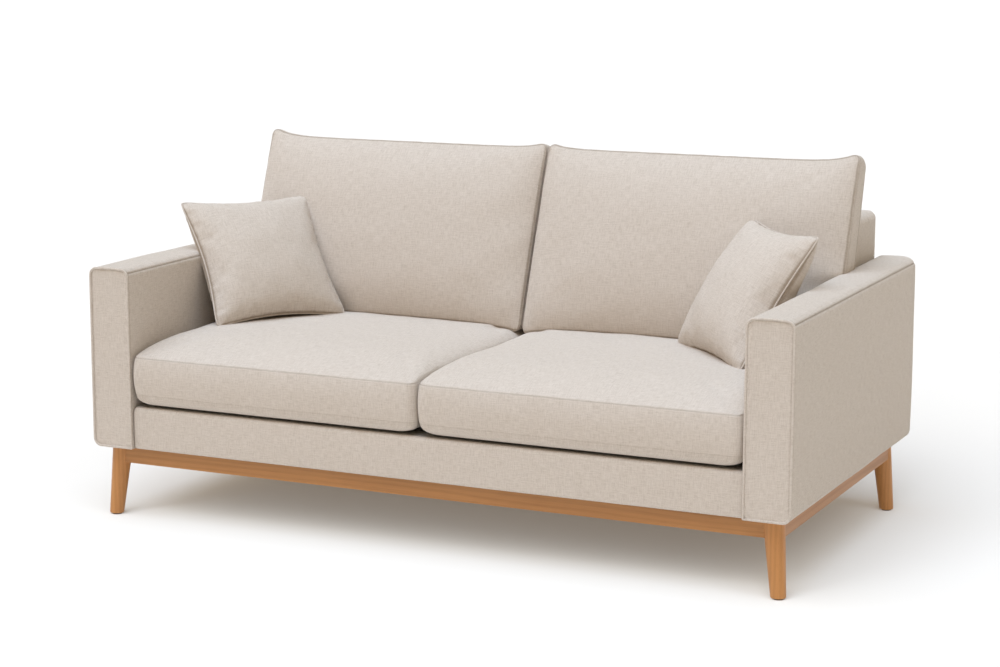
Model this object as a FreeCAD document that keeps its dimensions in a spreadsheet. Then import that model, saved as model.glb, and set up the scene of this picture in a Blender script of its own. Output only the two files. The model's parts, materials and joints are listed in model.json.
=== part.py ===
"""A two-seat sofa with wooden legs, as a FreeCAD document.

Square upholstered arms stand either side of a sprung seat frame and a low raked back frame.
The sofa carries two loose seat cushions, two loose back cushions and two throw pillows, and
stands on a timber base of four splayed, tapered legs joined by rails.

Millimetres, +X to the sitter's left, +Y to the rear, +Z up. The origin is on the floor, in the
middle of the sofa's width and depth. "left" is the side at -X.
"""
import FreeCAD, Part
import math
import os
import re

import Sketcher

Vector = FreeCAD.Vector

# ---------------------------------------------------------------- driving dimensions

SIZES = {
    # the whole sofa
    "width": (1800, "over both arms"),
    "depth": (1000, "front of the arms to the back"),
    "body_bottom": (177, "underside of the upholstery above the floor"),
    "play": (0.5, "gap left between pieces that don't touch"),
    "wrap": (12, "fabric and wadding over the timbers"),
    # arms
    "arm_thickness": (110, "one arm across"),
    "arm_top": (623, "top of the arm above the floor"),
    "arm_edge_radius": (16, "long top edges of the arm"),
    "arm_foot_radius": (20, "bottom outer edge of the arm"),
    "arm_rear_radius": (40, "rear outer corner of the arm"),
    "arm_cavity_rear": (22, "rear of the arm to the end of its timbers"),
    "arm_opening_edge": (14, "fabric turned in under the arm"),
    "arm_panel": (5.5, "plywood cheek of the arm"),
    "post_depth": (40, "arm post front to back"),
    "arm_rail_height": (40, "arm top rail"),
    "arm_foot_height": (36, "arm bottom rail"),
    "welt_radius": (3, "piping round the arm front"),
    # seat frame
    "border_setback": (12, "seat border behind the arm fronts"),
    "seat_rail_width": (40, "seat rail across"),
    "seat_rail_bottom": (180, "underside of the seat rails"),
    "seat_rail_top": (270, "top of the seat rails"),
    "beam_top": (229.5, "top of the centre beam"),
    "spring_rail_front": (196, "front face of the rail that ends the springs"),
    "spring_wire_radius": (1.9, "sinuous spring wire"),
    "spring_pitch": (48, "one bend of the spring to the next"),
    "spring_half_width": (24, "straight part of a bend, halved"),
    "springs_per_seat": (3, "springs under one seat cushion"),
    "pad_bottom": (276, "underside of the insulator pad"),
    "cloth_bottom": (283.5, "underside of the deck cloth"),
    "deck_top": (288, "deck that the seat cushions lie on"),
    "lip_depth": (58, "seat border turned back over the front rail"),
    "dust_cover": (1.5, "cloth under the seat frame"),
    # back frame
    "back_tilt": (20, "degrees that the back leans"),
    "back_foot": (185, "front of the back frame at the seat"),
    "back_knee": (440, "height where the back starts to lean"),
    "back_top": (745, "top of the back frame"),
    "back_end_radius": (20, "top outer corner of the back frame"),
    "back_edge_radius": (12, "top rear edge of the back frame"),
    "gable": (25, "plywood gable"),
    "gable_frame": (58, "width of material round the gable's cut-out"),
    "board": (19, "top board of the back"),
    "web_gap": (4.5, "room for the webbing in front of the gables"),
    "web_width": (50, "one strap of webbing"),
    "web": (1.5, "thickness of the webbing"),
    "web_count": (5, "straps of webbing"),
    "back_rail_depth": (22, "lower rail of the back"),
    "back_rail_top": (340, "top of the lower rail of the back"),
    "rear_panel": (3, "fibreboard rear panel"),
    # cushions
    "middle_gap": (2, "between the left and right cushions"),
    "side_gap": (1.5, "between a cushion and the arm"),
    "cover": (5, "cushion cover with its wadding"),
    "seat_front": (496, "front of the seat cushion ahead of the middle"),
    "seat_rear": (180, "rear of the seat cushion behind the middle"),
    "seat_seam": (408, "height of the seat cushion's front top seam"),
    "seat_crown": (448, "top of the seat cushion"),
    "crown_depth": (162, "front seam back to the flat of the crown"),
    "crown_radius": (350, "roll of the seat cushion's front"),
    "seat_corner": (24, "front corner of the seat cushion"),
    "back_thickness": (80, "back cushion, front to back"),
    "back_seam": (897, "height of the back cushion's front top seam"),
    "back_crown_radius": (940, "bulge of the back cushion's face"),
    "back_corner": (8, "top edges of the back cushion"),
    # throw pillows
    "pillow": (340, "side of the throw pillow"),
    "pillow_face": (170, "side of the flat in the middle of its faces"),
    "pillow_thickness": (96, "throw pillow through its middle"),
    # timber base
    "leg_top_x": (847, "leg's top from the middle"),
    "leg_foot_x": (864, "leg's foot from the middle"),
    "leg_front_top": (451, "front leg's top ahead of the middle"),
    "leg_front_foot": (461, "front leg's foot ahead of the middle"),
    "leg_rear_top": (394, "rear leg's top behind the middle"),
    "leg_rear_foot": (403, "rear leg's foot behind the middle"),
    "leg_top_radius": (25, "leg at its top"),
    "leg_foot_radius": (17.5, "leg at its foot"),
    "leg_arris": (2.5, "rounding of the leg's foot"),
    "glide": (3, "nylon glide under the leg"),
    "glide_radius": (12, "nylon glide"),
    "bolt_radius": (4, "hanger bolt"),
    "bolt_room": (0.2, "clearance round the hanger bolt"),
    "bolt_bottom": (120, "lower end of the hanger bolt"),
    "bolt_top": (221, "upper end of the hanger bolt"),
    "rail_bottom": (135, "underside of the base rails"),
    "rail": (22, "thickness of a base rail"),
    "rail_front": (467, "front rail's face ahead of the middle"),
    "rail_rear": (409, "rear rail's face behind the middle"),
    "rail_side": (870, "side rail's face from the middle"),
    "rail_reach": (9, "rail's end short of the leg's axis"),
    "block": (20, "thickness of a corner block"),
    "block_leg": (72, "corner block along each rail"),
}

# where each throw pillow rests: its middle, the turn of its face and how far it leans back
PILLOWS = {
    "left": {"place": Vector(-680, -42, 599), "turn": 56, "lean": -36.8},
    "right": {"place": Vector(627, -30, 597), "turn": -46, "lean": -32.6},
}

SIDES = {"left": -1, "right": 1}
ENDS = {"front": -1, "rear": 1}

doc = FreeCAD.newDocument("Sofa")
sheet = doc.addObject("Spreadsheet::Sheet", "Sizes")
for row, (alias, (value, meaning)) in enumerate(SIZES.items(), start=1):
    sheet.set(f"A{row}", alias)
    sheet.set(f"B{row}", str(value))
    sheet.setAlias(f"B{row}", alias)
    sheet.set(f"C{row}", meaning)
doc.recompute()

# lengths worked out from the driving dimensions, as expressions
INNER = "(width / 2 - arm_thickness)"
FRONT = "(depth / 2)"
ARM_FRONT = "(depth / 2 - welt_radius)"
BORDER_FRONT = "(depth / 2 - border_setback)"
CHEEK = "(wrap + play + arm_panel + play)"
LEG_TOP = "body_bottom"

nodes = {}


# ---------------------------------------------------------------- helpers


def bound(text):
    """The expression with each dimension's name pointing at its cell in the sheet."""
    return re.sub(r"[a-z]\w*", lambda m: "Sizes." + m.group() if m.group() in SIZES else m.group(), text)


def size(alias):
    """A dimension's value, read from the sheet."""
    return float(sheet.get(alias))


def node(name, obj):
    """Name the finished sub-part, which also names its file."""
    obj.Label = name
    nodes[name] = obj
    return obj


def handed(side, low, high):
    """The span low..high on the right of the sofa, or its mirror image on the left."""
    return (low, high) if side > 0 else (f"-({high})", f"-({low})")


def across(reach):
    """A span centred on the middle of the sofa."""
    return (f"-({reach})", reach)


def box(name, x, y, z):
    """A box between the low and high expressions given for each axis."""
    obj = doc.addObject("Part::Box", name)
    for prop, axis, (low, high) in (("Length", "x", x), ("Width", "y", y), ("Height", "z", z)):
        obj.setExpression(prop, bound(f"({high}) - ({low})"))
        obj.setExpression(f"Placement.Base.{axis}", bound(low))
    return obj


def cut(name, base, tools):
    """base with each of the tools taken out of it."""
    tool = tools[0]
    if len(tools) > 1:
        tool = doc.addObject("Part::Compound", name + "_tools")
        tool.Links = tools
    obj = doc.addObject("Part::Cut", name)
    obj.Base = base
    obj.Tool = tool
    return obj


def group(name, pieces):
    """Identical pieces kept as separate solids of one sub-part."""
    obj = doc.addObject("Part::Compound", name)
    obj.Links = pieces
    return obj


def new_body(name):
    """An empty body."""
    return doc.addObject("PartDesign::Body", name)


def sketch(body, name, role, offset="0"):
    """A sketch on one of the body's own origin planes, moved along the plane's normal."""
    obj = body.newObject("Sketcher::SketchObject", name)
    plane = next(f for f in body.Origin.OriginFeatures if f.Role == role)
    obj.AttachmentSupport = (plane, [""])
    obj.MapMode = "FlatFace"
    obj.setExpression("AttachmentOffset.Base.z", bound(offset))
    return obj


def tie(obj, kind, geometry, point, expression):
    """Hold one coordinate of a sketch point at an expression."""
    index = obj.addConstraint(Sketcher.Constraint(kind, -1, 1, geometry, point, start_value(expression)))
    obj.setExpression(f"Constraints[{index}]", bound(expression))


def start_value(expression):
    """The expression's value now, so that a sketch starts close to its solution."""
    return float(sheet.evalExpression(bound(expression)))


def outline(obj, corners, arcs=None):
    """A closed outline through the corners; arcs gives the radius of the sides that bulge outwards.

    A side's number is that of the corner it starts from.
    """
    arcs = arcs or {}
    first = obj.GeometryCount
    points = [Vector(start_value(a), start_value(b), 0) for a, b in corners]
    for i, start in enumerate(points):
        end = points[(i + 1) % len(points)]
        if i in arcs:
            obj.addGeometry(bulging(start, end, start_value(arcs[i])), False)
        else:
            obj.addGeometry(Part.LineSegment(start, end), False)
    start_point = [2 if i in arcs else 1 for i in range(len(corners))]
    for i, (a, b) in enumerate(corners):
        after = (i + 1) % len(corners)
        joint = Sketcher.Constraint("Coincident", first + i, 3 - start_point[i], first + after, start_point[after])
        obj.addConstraint(joint)
        tie(obj, "DistanceX", first + i, start_point[i], a)
        tie(obj, "DistanceY", first + i, start_point[i], b)
        if i in arcs:
            index = obj.addConstraint(Sketcher.Constraint("Radius", first + i, start_value(arcs[i])))
            obj.setExpression(f"Constraints[{index}]", bound(arcs[i]))


def bulging(start, end, radius):
    """The short arc from end to start, anticlockwise, that bulges to the left of start to end."""
    chord = end - start
    middle = (start + end) / 2
    left = Vector(-chord.y, chord.x, 0).normalize()
    centre = middle - left * math.sqrt(radius**2 - (chord.Length / 2) ** 2)
    circle = Part.Circle(centre, Vector(0, 0, 1), radius)
    low = math.atan2(end.y - centre.y, end.x - centre.x)
    high = math.atan2(start.y - centre.y, start.x - centre.x)
    return Part.ArcOfCircle(circle, low, high)


def ring(obj, x, y, radius):
    """A circle at the given place, with the given radius."""
    centre = Vector(start_value(x), start_value(y), 0)
    index = obj.addGeometry(Part.Circle(centre, Vector(0, 0, 1), start_value(radius)), False)
    tie(obj, "DistanceX", index, 3, x)
    tie(obj, "DistanceY", index, 3, y)
    held = obj.addConstraint(Sketcher.Constraint("Radius", index, start_value(radius)))
    obj.setExpression(f"Constraints[{held}]", bound(radius))


def rectangle(obj, x, y):
    """A rectangle between two spans."""
    outline(obj, [(x[0], y[0]), (x[1], y[0]), (x[1], y[1]), (x[0], y[1])])


def pad(body, profile, length, midplane=False):
    """The profile pushed out along its normal, or evenly to both sides."""
    obj = body.newObject("PartDesign::Pad", "Pad")
    obj.Profile = profile
    obj.SideType = "Symmetric" if midplane else "One side"
    obj.setExpression("Length", bound(length))
    doc.recompute()
    return obj


def pocket(body, profile, length, midplane=False, reverse=False):
    """The profile cut out of the body, checked to take some material away."""
    before = body.Shape.Volume
    obj = body.newObject("PartDesign::Pocket", "Pocket")
    obj.Profile = profile
    obj.SideType = "Symmetric" if midplane else "One side"
    obj.Reversed = reverse
    obj.setExpression("Length", bound(length))
    doc.recompute()
    if body.Shape.Volume > before - 1:
        raise RuntimeError(f"{body.Name}: a pocket took nothing away")
    return obj


def round_edges(body, feature, radius, wanted):
    """Round those edges of the feature whose ends and middle suit the test."""
    names = [f"Edge{i}" for i, edge in enumerate(feature.Shape.Edges, start=1) if wanted(edge)]
    if not names:
        raise RuntimeError(f"{body.Name}: no edge to round")
    obj = body.newObject("PartDesign::Fillet", "Fillet")
    obj.Base = (feature, names)
    obj.setExpression("Radius", bound(radius))
    doc.recompute()
    return obj


def runs_along(edge, axis):
    """True if the straight edge lies along the axis."""
    return edge.Curve.TypeId == "Part::GeomLine" and abs(abs(edge.tangentAt(edge.FirstParameter)[axis]) - 1) < 1e-6


def near(value, target):
    """True if a coordinate is at the target."""
    return abs(value - target) < 0.01


# ---------------------------------------------------------------- timber base


def leg(side_name, end_name):
    """A tapered leg that splays outwards, with a bore for its hanger bolt."""
    side, end = SIDES[side_name], ENDS[end_name]
    name = f"leg_{end_name}_{side_name}"
    body = new_body(name)
    foot = sketch(body, "Foot", "XY_Plane", "glide")
    ring(foot, f"{side} * leg_foot_x", f"{end} * leg_{end_name}_foot", "leg_foot_radius")
    top = sketch(body, "Top", "XY_Plane", LEG_TOP)
    ring(top, f"{side} * leg_top_x", f"{end} * leg_{end_name}_top", "leg_top_radius")
    taper = body.newObject("PartDesign::AdditiveLoft", "Taper")
    taper.Profile = foot
    taper.Sections = [top]
    doc.recompute()
    bore = sketch(body, "Bore", "XY_Plane", LEG_TOP)
    ring(bore, f"{side} * leg_top_x", f"{end} * leg_{end_name}_top", "bolt_radius + bolt_room")
    drilled = pocket(body, bore, f"{LEG_TOP} - bolt_bottom")
    foot_height = size("glide")
    round_edges(body, drilled, "leg_arris", lambda e: near(e.BoundBox.ZMax, foot_height))
    return node(name, body)


def cylinder(name, radius, x, y, low, high):
    """An upright cylinder."""
    obj = doc.addObject("Part::Cylinder", name)
    obj.setExpression("Radius", bound(radius))
    obj.setExpression("Height", bound(f"({high}) - ({low})"))
    for axis, value in (("x", x), ("y", y), ("z", low)):
        obj.setExpression(f"Placement.Base.{axis}", bound(value))
    return obj


def base_rail(name, x, y, legs):
    """A base rail whose ends are coped to fit against its two legs."""
    blank = box(name + "_blank", x, y, ("rail_bottom", LEG_TOP))
    return node(name, cut(name, blank, legs))


def corner_block(side, end, end_name):
    """A diagonal block glued between two base rails beside a leg."""
    body = new_body("corner_block")
    plan = sketch(body, "Plan", "XY_Plane", f"{LEG_TOP} - block")
    rail_face = "(rail_side - rail)"
    end_face = f"(rail_{end_name} - rail)"
    corners = [
        (rail_face, f"{end_face} - block_leg"),
        (f"{rail_face} - block_leg", end_face),
        (f"{rail_face} - block_leg - block", end_face),
        (rail_face, f"{end_face} - block_leg - block"),
    ]
    outline(plan, [(f"{side} * ({x})", f"{end} * ({y})") for x, y in corners])
    pad(body, plan, "block")
    return body


def make_base():
    """Legs, glides, bolts, rails and corner blocks."""
    corners = [(s, e) for e in ENDS for s in SIDES]
    legs = {(s, e): leg(s, e) for s, e in corners}
    glides, bolts, blocks = [], [], []
    for side_name, end_name in corners:
        side, end = SIDES[side_name], ENDS[end_name]
        foot = (f"{side} * leg_foot_x", f"{end} * leg_{end_name}_foot")
        top = (f"{side} * leg_top_x", f"{end} * leg_{end_name}_top")
        glides.append(cylinder("glide", "glide_radius", *foot, "0", "glide"))
        bolts.append(cylinder("bolt", "bolt_radius", *top, "bolt_bottom", "bolt_top"))
        blocks.append(corner_block(side, end, end_name))
    node("leg_glides", group("leg_glides", glides))
    node("leg_bolts", group("leg_bolts", bolts))
    node("corner_blocks", group("corner_blocks", blocks))
    reach = across("leg_top_x - rail_reach")
    base_rail("base_rail_front", reach, ("-rail_front", "-rail_front + rail"), [legs[s, "front"] for s in SIDES])
    base_rail("base_rail_rear", reach, ("rail_rear - rail", "rail_rear"), [legs[s, "rear"] for s in SIDES])
    run = ("-leg_front_top + 6", "leg_rear_top - 6")
    for side_name, side in SIDES.items():
        span = handed(side, "rail_side - rail", "rail_side")
        base_rail(f"base_rail_{side_name}", span, run, [legs[side_name, e] for e in ENDS])


# ---------------------------------------------------------------- arms


def arm_cover(side_name):
    """The arm's wadding and fabric: a shell round its timbers, turned in underneath."""
    side = SIDES[side_name]
    name = f"arm_cover_{side_name}"
    body = new_body(name + "_block")
    plan = sketch(body, "Plan", "XY_Plane", "body_bottom")
    rectangle(plan, handed(side, INNER, "width / 2"), (f"-{ARM_FRONT}", FRONT))
    block = pad(body, plan, "arm_top - body_bottom")
    outer, rear = size("width") / 2, size("depth") / 2
    top, bottom = size("arm_top"), size("body_bottom")
    inner = outer - size("arm_thickness")
    front = -(rear - size("welt_radius"))
    corner = round_edges(
        body, block, "arm_rear_radius",
        lambda e: runs_along(e, 2) and near(abs(e.CenterOfMass.x), outer) and near(e.CenterOfMass.y, rear),
    )
    upper = round_edges(
        body, corner, "arm_edge_radius",
        lambda e: near(e.BoundBox.ZMin, top) and not near(e.BoundBox.YMax, front),
    )
    round_edges(
        body, upper, "arm_foot_radius",
        lambda e: near(e.BoundBox.ZMax, bottom)
        and not near(e.BoundBox.YMax, front)
        and not near(max(abs(e.BoundBox.XMin), abs(e.BoundBox.XMax)), inner),
    )
    cavity = box(
        name + "_cavity",
        handed(side, f"{INNER} + wrap", "width / 2 - wrap"),
        (f"-({ARM_FRONT} - wrap)", f"{FRONT} - arm_cavity_rear"),
        ("body_bottom + wrap", "arm_top - wrap"),
    )
    opening = box(
        name + "_opening",
        handed(side, f"{INNER} + wrap + arm_opening_edge", "width / 2 - wrap - arm_opening_edge"),
        (f"-({ARM_FRONT} - wrap - arm_opening_edge)", f"{FRONT} - arm_cavity_rear - arm_opening_edge"),
        ("body_bottom - 1", "body_bottom + wrap + 1"),
    )
    room = doc.addObject("Part::Fuse", name + "_room")
    room.Base = cavity
    room.Tool = opening
    return node(name, cut(name, body, [room]))


def arm_timbers(side_name, bolts):
    """Posts, rails and plywood cheeks inside one arm."""
    side = SIDES[side_name]
    front, rear = f"-({ARM_FRONT} - wrap - play)", f"({FRONT} - arm_cavity_rear - play)"
    floor, ceiling = "(body_bottom + wrap + play)", "(arm_top - wrap - play)"
    foot_top = f"({floor} + arm_foot_height)"
    rail_low = f"({ceiling} - arm_rail_height)"
    x = handed(side, f"{INNER} + {CHEEK}", f"width / 2 - {CHEEK}")
    posts = {
        "front": (front, f"{front} + post_depth"),
        "rear": (f"{rear} - post_depth", rear),
    }
    for end_name, y in posts.items():
        label = f"arm_{end_name}_post_{side_name}"
        node(label, box(label, x, y, (foot_top, rail_low)))
    label = f"arm_top_rail_{side_name}"
    node(label, box(label, x, (front, rear), (rail_low, ceiling)))
    label = f"arm_bottom_rail_{side_name}"
    blank = box(label + "_blank", x, (front, rear), (floor, foot_top))
    node(label, cut(label, blank, bolts))
    cheeks = {
        "inner": handed(side, f"{INNER} + wrap + play", f"{INNER} + wrap + play + arm_panel"),
        "outer": handed(side, "width / 2 - wrap - play - arm_panel", "width / 2 - wrap - play"),
    }
    for face, span in cheeks.items():
        label = f"arm_{face}_panel_{side_name}"
        node(label, box(label, span, (front, rear), (floor, ceiling)))


def bolt_holes(side_name):
    """The clearance holes for the hanger bolts of one side."""
    side = SIDES[side_name]
    return [
        cylinder(
            "bolt_hole", "bolt_radius + bolt_room", f"{side} * leg_top_x",
            f"{end} * leg_{end_name}_top", "body_bottom", "bolt_top + bolt_room",
        )
        for end_name, end in ENDS.items()
    ]


def arm_welt(side_name):
    """Piping that runs up, over and down the arm's front edge and turns in under it."""
    side = SIDES[side_name]
    name = f"arm_welt_{side_name}"
    body = new_body(name)
    low, high = size("body_bottom") + size("welt_radius"), size("arm_top") - size("welt_radius")
    inner = size("width") / 2 - size("arm_thickness") + size("welt_radius")
    outer = size("width") / 2 - size("welt_radius")
    bend_top = size("arm_edge_radius") - size("welt_radius")
    bend_foot = size("arm_foot_radius") - size("welt_radius")
    route = [
        (Vector(inner, low, 0), 0),
        (Vector(inner, high, 0), bend_top),
        (Vector(outer, high, 0), bend_top),
        (Vector(outer, low, 0), bend_foot),
        (Vector(inner + 2 * size("arm_opening_edge"), low, 0), 0),
    ]
    spine = sketch(body, "Route", "XZ_Plane", ARM_FRONT)
    for piece in rounded_route([(Vector(side * p.x, p.y, 0), r) for p, r in route]):
        spine.addGeometry(piece, False)
    section = sketch(body, "Section", "XY_Plane", "body_bottom + welt_radius")
    ring(section, f"{side} * ({INNER} + welt_radius)", f"-{ARM_FRONT}", "welt_radius")
    pipe = body.newObject("PartDesign::AdditivePipe", "Piping")
    pipe.Profile = section
    pipe.Spine = (spine, [f"Edge{i}" for i in range(1, spine.GeometryCount + 1)])
    doc.recompute()
    return node(name, body)


def rounded_route(route):
    """Straight runs joined by tangent arcs, from corner points and the radius at each."""
    pieces = []
    start = route[0][0]
    for (before, _), (corner, radius), (after, _) in zip(route, route[1:], route[2:]):
        back, on = (before - corner).normalize(), (after - corner).normalize()
        entry, leave = corner + back * radius, corner + on * radius
        centre = corner + (back + on) * radius
        middle = centre - (back + on).normalize() * radius
        pieces += [Part.LineSegment(start, entry), Part.Arc(entry, middle, leave)]
        start = leave
    return pieces + [Part.LineSegment(start, route[-1][0])]


def make_arms():
    """Both arms."""
    for side_name in SIDES:
        arm_cover(side_name)
        arm_timbers(side_name, bolt_holes(side_name))
        arm_welt(side_name)


# ---------------------------------------------------------------- seat frame


def make_seat_frame():
    """Rails, centre beam, deck and border of the sprung seat."""
    rails = ("seat_rail_bottom", "seat_rail_top")
    front = f"-({BORDER_FRONT} - wrap - play)"
    behind_front = f"({front} + seat_rail_width + play)"
    rear = f"({FRONT} - wrap - 2)"
    clear = f"({INNER} - play)"
    between = f"({clear} - seat_rail_width - play)"
    before_rear = f"({rear} - seat_rail_width)"
    pieces = {
        "seat_rail_front": (across(clear), (front, f"{front} + seat_rail_width"), rails),
        "seat_rail_rear": (across(between), (before_rear, rear), rails),
        "seat_spring_rail": (
            across(between),
            ("spring_rail_front", "spring_rail_front + seat_rail_width"),
            ("beam_top + play", "seat_rail_top"),
        ),
        "seat_centre_beam": (
            across("seat_rail_width / 2"), (behind_front, f"{before_rear} - play"), ("seat_rail_bottom", "beam_top"),
        ),
        "seat_insulator_pad": (across(f"{clear} - play"), (front, "back_foot - 1"), ("pad_bottom", "cloth_bottom - play")),
        "seat_deck_cloth": (
            across(f"{clear} - play"),
            (f"-{BORDER_FRONT} + lip_depth + play", "back_foot - 1"),
            ("cloth_bottom", "deck_top"),
        ),
        "dust_cover": (across(f"{clear} - 1"), (front, rear), ("body_bottom", "body_bottom + dust_cover")),
    }
    for label, spans in pieces.items():
        node(label, box(label, *spans))
    for side_name, side in SIDES.items():
        label = f"seat_rail_{side_name}"
        span = handed(side, f"{clear} - seat_rail_width", clear)
        node(label, box(label, span, (behind_front, rear), rails))


def seat_border():
    """The fabric band across the seat's front, turned back over the front rail."""
    body = new_body("seat_border_body")
    section = sketch(body, "Section", "YZ_Plane")
    face, behind = f"-{BORDER_FRONT}", f"(-{BORDER_FRONT} + wrap)"
    lip_end = f"(-{BORDER_FRONT} + lip_depth)"
    outline(section, [
        (face, "body_bottom"), (behind, "body_bottom"), (behind, "cloth_bottom"),
        (lip_end, "cloth_bottom"), (lip_end, "deck_top"), (face, "deck_top"),
    ])
    pad(body, section, f"2 * ({INNER} - play)", midplane=True)
    return node("seat_border", body)


def spring_wire(x, start, stop):
    """One sinuous spring from the front rail to the spring rail, as a swept wire."""
    half, height = size("spring_half_width"), size("seat_rail_top") + size("spring_wire_radius") + 0.2
    bends = round((stop - start) / size("spring_pitch"))
    pitch = (stop - start) / bends
    edges = []
    for i in range(bends + 1):
        way = 1 if i % 2 == 0 else -1
        y = start + i * pitch
        edges.append(Part.makeLine(Vector(x - way * half, y, height), Vector(x + way * half, y, height)))
        if i < bends:
            side = x + way * half
            middle = Vector(side + way * pitch / 2, y + pitch / 2, height)
            edges.append(Part.Arc(Vector(side, y, height), middle, Vector(side, y + pitch, height)).toShape())
    spine = Part.Wire(edges)
    section = Part.Wire([Part.makeCircle(size("spring_wire_radius"), Vector(x - half, start, height), Vector(1, 0, 0))])
    return spine.makePipeShell([section], True, False)


def spring_clip(x, y):
    """A clip that holds the last straight of a spring down on its rail."""
    low = size("seat_rail_top")
    wire = size("spring_wire_radius") + 0.3
    outer = Part.makeBox(24, 14, 5.5, Vector(x - 12, y - 7, low))
    groove = Part.makeBox(24, 2 * wire, 2 * wire, Vector(x - 12, y - wire, low))
    return outer.cut(groove)


def make_springs():
    """Sinuous springs under each seat cushion, and the clips at their ends."""
    inner = size("width") / 2 - size("arm_thickness")
    start = -(size("depth") / 2 - size("border_setback") - size("wrap")) + size("seat_rail_width") / 2
    stop = size("spring_rail_front") + size("seat_rail_width") / 2
    count = int(2 * size("springs_per_seat"))
    places = [inner * (2 * i + 1 - count) / count for i in range(count)]
    springs = doc.addObject("Part::Feature", "seat_springs")
    springs.Shape = Part.makeCompound([spring_wire(x, start, stop) for x in places])
    node("seat_springs", springs)
    clips = doc.addObject("Part::Feature", "spring_clips")
    clips.Shape = Part.makeCompound([spring_clip(x, y) for x in places for y in (start, stop)])
    node("spring_clips", clips)


# ---------------------------------------------------------------- back frame


def slope(height, offset="0"):
    """Depth of the back frame's leaning front at a height, plus an offset behind it."""
    return f"(back_foot + ({offset}) + (({height}) - back_knee) * tan(back_tilt))"


def back_cover():
    """Fabric and wadding over the back frame: front, top, ends and a rear panel to the bottom."""
    body = new_body("back_cover_body")
    section = sketch(body, "Section", "YZ_Plane")
    foot, inside_rear = "(deck_top + play)", f"({FRONT} - wrap)"
    outline(section, [
        ("back_foot", foot), ("back_foot", "back_knee"), (slope("back_top"), "back_top"), (FRONT, "back_top"),
        (FRONT, "body_bottom"), (inside_rear, "body_bottom"), (inside_rear, foot),
    ][::-1])
    block = pad(body, section, f"2 * ({INNER} - play)", midplane=True)
    top, rear = size("back_top"), size("depth") / 2
    reach = size("width") / 2 - size("arm_thickness") - size("play")
    ends = round_edges(
        body, block, "back_end_radius",
        lambda e: runs_along(e, 1) and near(e.CenterOfMass.z, top) and near(abs(e.CenterOfMass.x), reach),
    )
    round_edges(
        body, ends, "back_edge_radius",
        lambda e: runs_along(e, 0) and near(e.CenterOfMass.z, top) and near(e.CenterOfMass.y, rear),
    )
    hollow = sketch(body, "Hollow", "YZ_Plane")
    front, below = "(back_foot + wrap)", "(deck_top - 10)"
    outline(hollow, [
        (front, below), (front, "back_knee"), (slope("back_top - wrap", "wrap"), "back_top - wrap"),
        (inside_rear, "back_top - wrap"), (inside_rear, below),
    ][::-1])
    pocket(body, hollow, f"2 * ({INNER} - play - wrap)", midplane=True)
    return node("back_cover", body)


def gable(label, start):
    """A plywood gable that gives the back its rake, with a cut-out to save weight."""
    body = new_body(label)
    profile = sketch(body, "Profile", "YZ_Plane", start)
    foot = "(seat_rail_top + play)"
    behind_rail = "(back_foot + wrap + back_rail_depth + 2 * play)"
    front = "(back_foot + wrap + web_gap)"
    shelf = "(back_rail_top + play)"
    top = "(back_top - wrap - play - board - play)"
    rear = f"({FRONT} - wrap - play - rear_panel - play)"
    outline(profile, [
        (behind_rail, foot), (behind_rail, shelf), (front, shelf), (front, "back_knee"),
        (slope(top, "wrap + web_gap"), top), (rear, top), (rear, foot),
    ][::-1])
    pad(body, profile, "gable")
    window = sketch(body, "Window", "YZ_Plane", start)
    low, high = f"({foot} + gable_frame)", f"({top} - gable_frame)"
    outline(window, [
        (f"{behind_rail} + gable_frame", low), (f"{behind_rail} + gable_frame", "back_knee"),
        (slope(high, "wrap + gable_frame + 20"), high), (f"{rear} - gable_frame", high),
        (f"{rear} - gable_frame", low),
    ][::-1])
    pocket(body, window, "gable", reverse=True)
    return node(label, body)


def back_webbing():
    """Straps across the leaning front of the gables."""
    tilt = size("back_tilt")
    up = Vector(0, math.sin(math.radians(tilt)), math.cos(math.radians(tilt)))
    inward = Vector(0, up.z, -up.y)
    foot = Vector(0, size("back_foot") + size("wrap"), size("back_knee"))
    length = (size("back_top") - size("back_knee") - 2 * size("wrap") - size("board")) / up.z
    reach = size("width") / 2 - size("arm_thickness") - size("wrap") - 2
    count = int(size("web_count"))
    room = (length - count * size("web_width")) / count
    if room < 0:
        raise RuntimeError("the webbing doesn't fit on the back")
    straps = []
    for i in range(count):
        strap = doc.addObject("Part::Box", "strap")
        strap.Length = 2 * reach
        strap.setExpression("Width", bound("web"))
        strap.setExpression("Height", bound("web_width"))
        place = foot + up * (i * (size("web_width") + room) + room / 2) + inward * (size("web_gap") - size("web") - 0.8)
        strap.Placement = FreeCAD.Placement(place - Vector(reach, 0, 0), FreeCAD.Rotation(Vector(1, 0, 0), -tilt))
        straps.append(strap)
    return node("back_webbing", group("back_webbing", straps))


def make_back_frame():
    """Gables, boards, webbing and cover of the back."""
    back_cover()
    reach = f"({INNER} - play - wrap - play)"
    gable("back_gable_left", f"-{reach}")
    gable("back_gable_centre", "-gable / 2")
    gable("back_gable_right", f"{reach} - gable")
    rear = f"({FRONT} - wrap - play)"
    board_top = "(back_top - wrap - play)"
    pieces = {
        "back_top_board": (
            across(reach), (slope(board_top, "wrap + 2"), f"{rear} - rear_panel - play"), (f"{board_top} - board", board_top),
        ),
        "back_lower_rail": (
            across(reach),
            ("back_foot + wrap + play", "back_foot + wrap + play + back_rail_depth"),
            ("deck_top + play", "back_rail_top"),
        ),
        "back_rear_panel": (across(reach), (f"{rear} - rear_panel", rear), ("seat_rail_top + 1", board_top)),
    }
    for label, spans in pieces.items():
        node(label, box(label, *spans))
    back_webbing()


# ---------------------------------------------------------------- cushions


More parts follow.
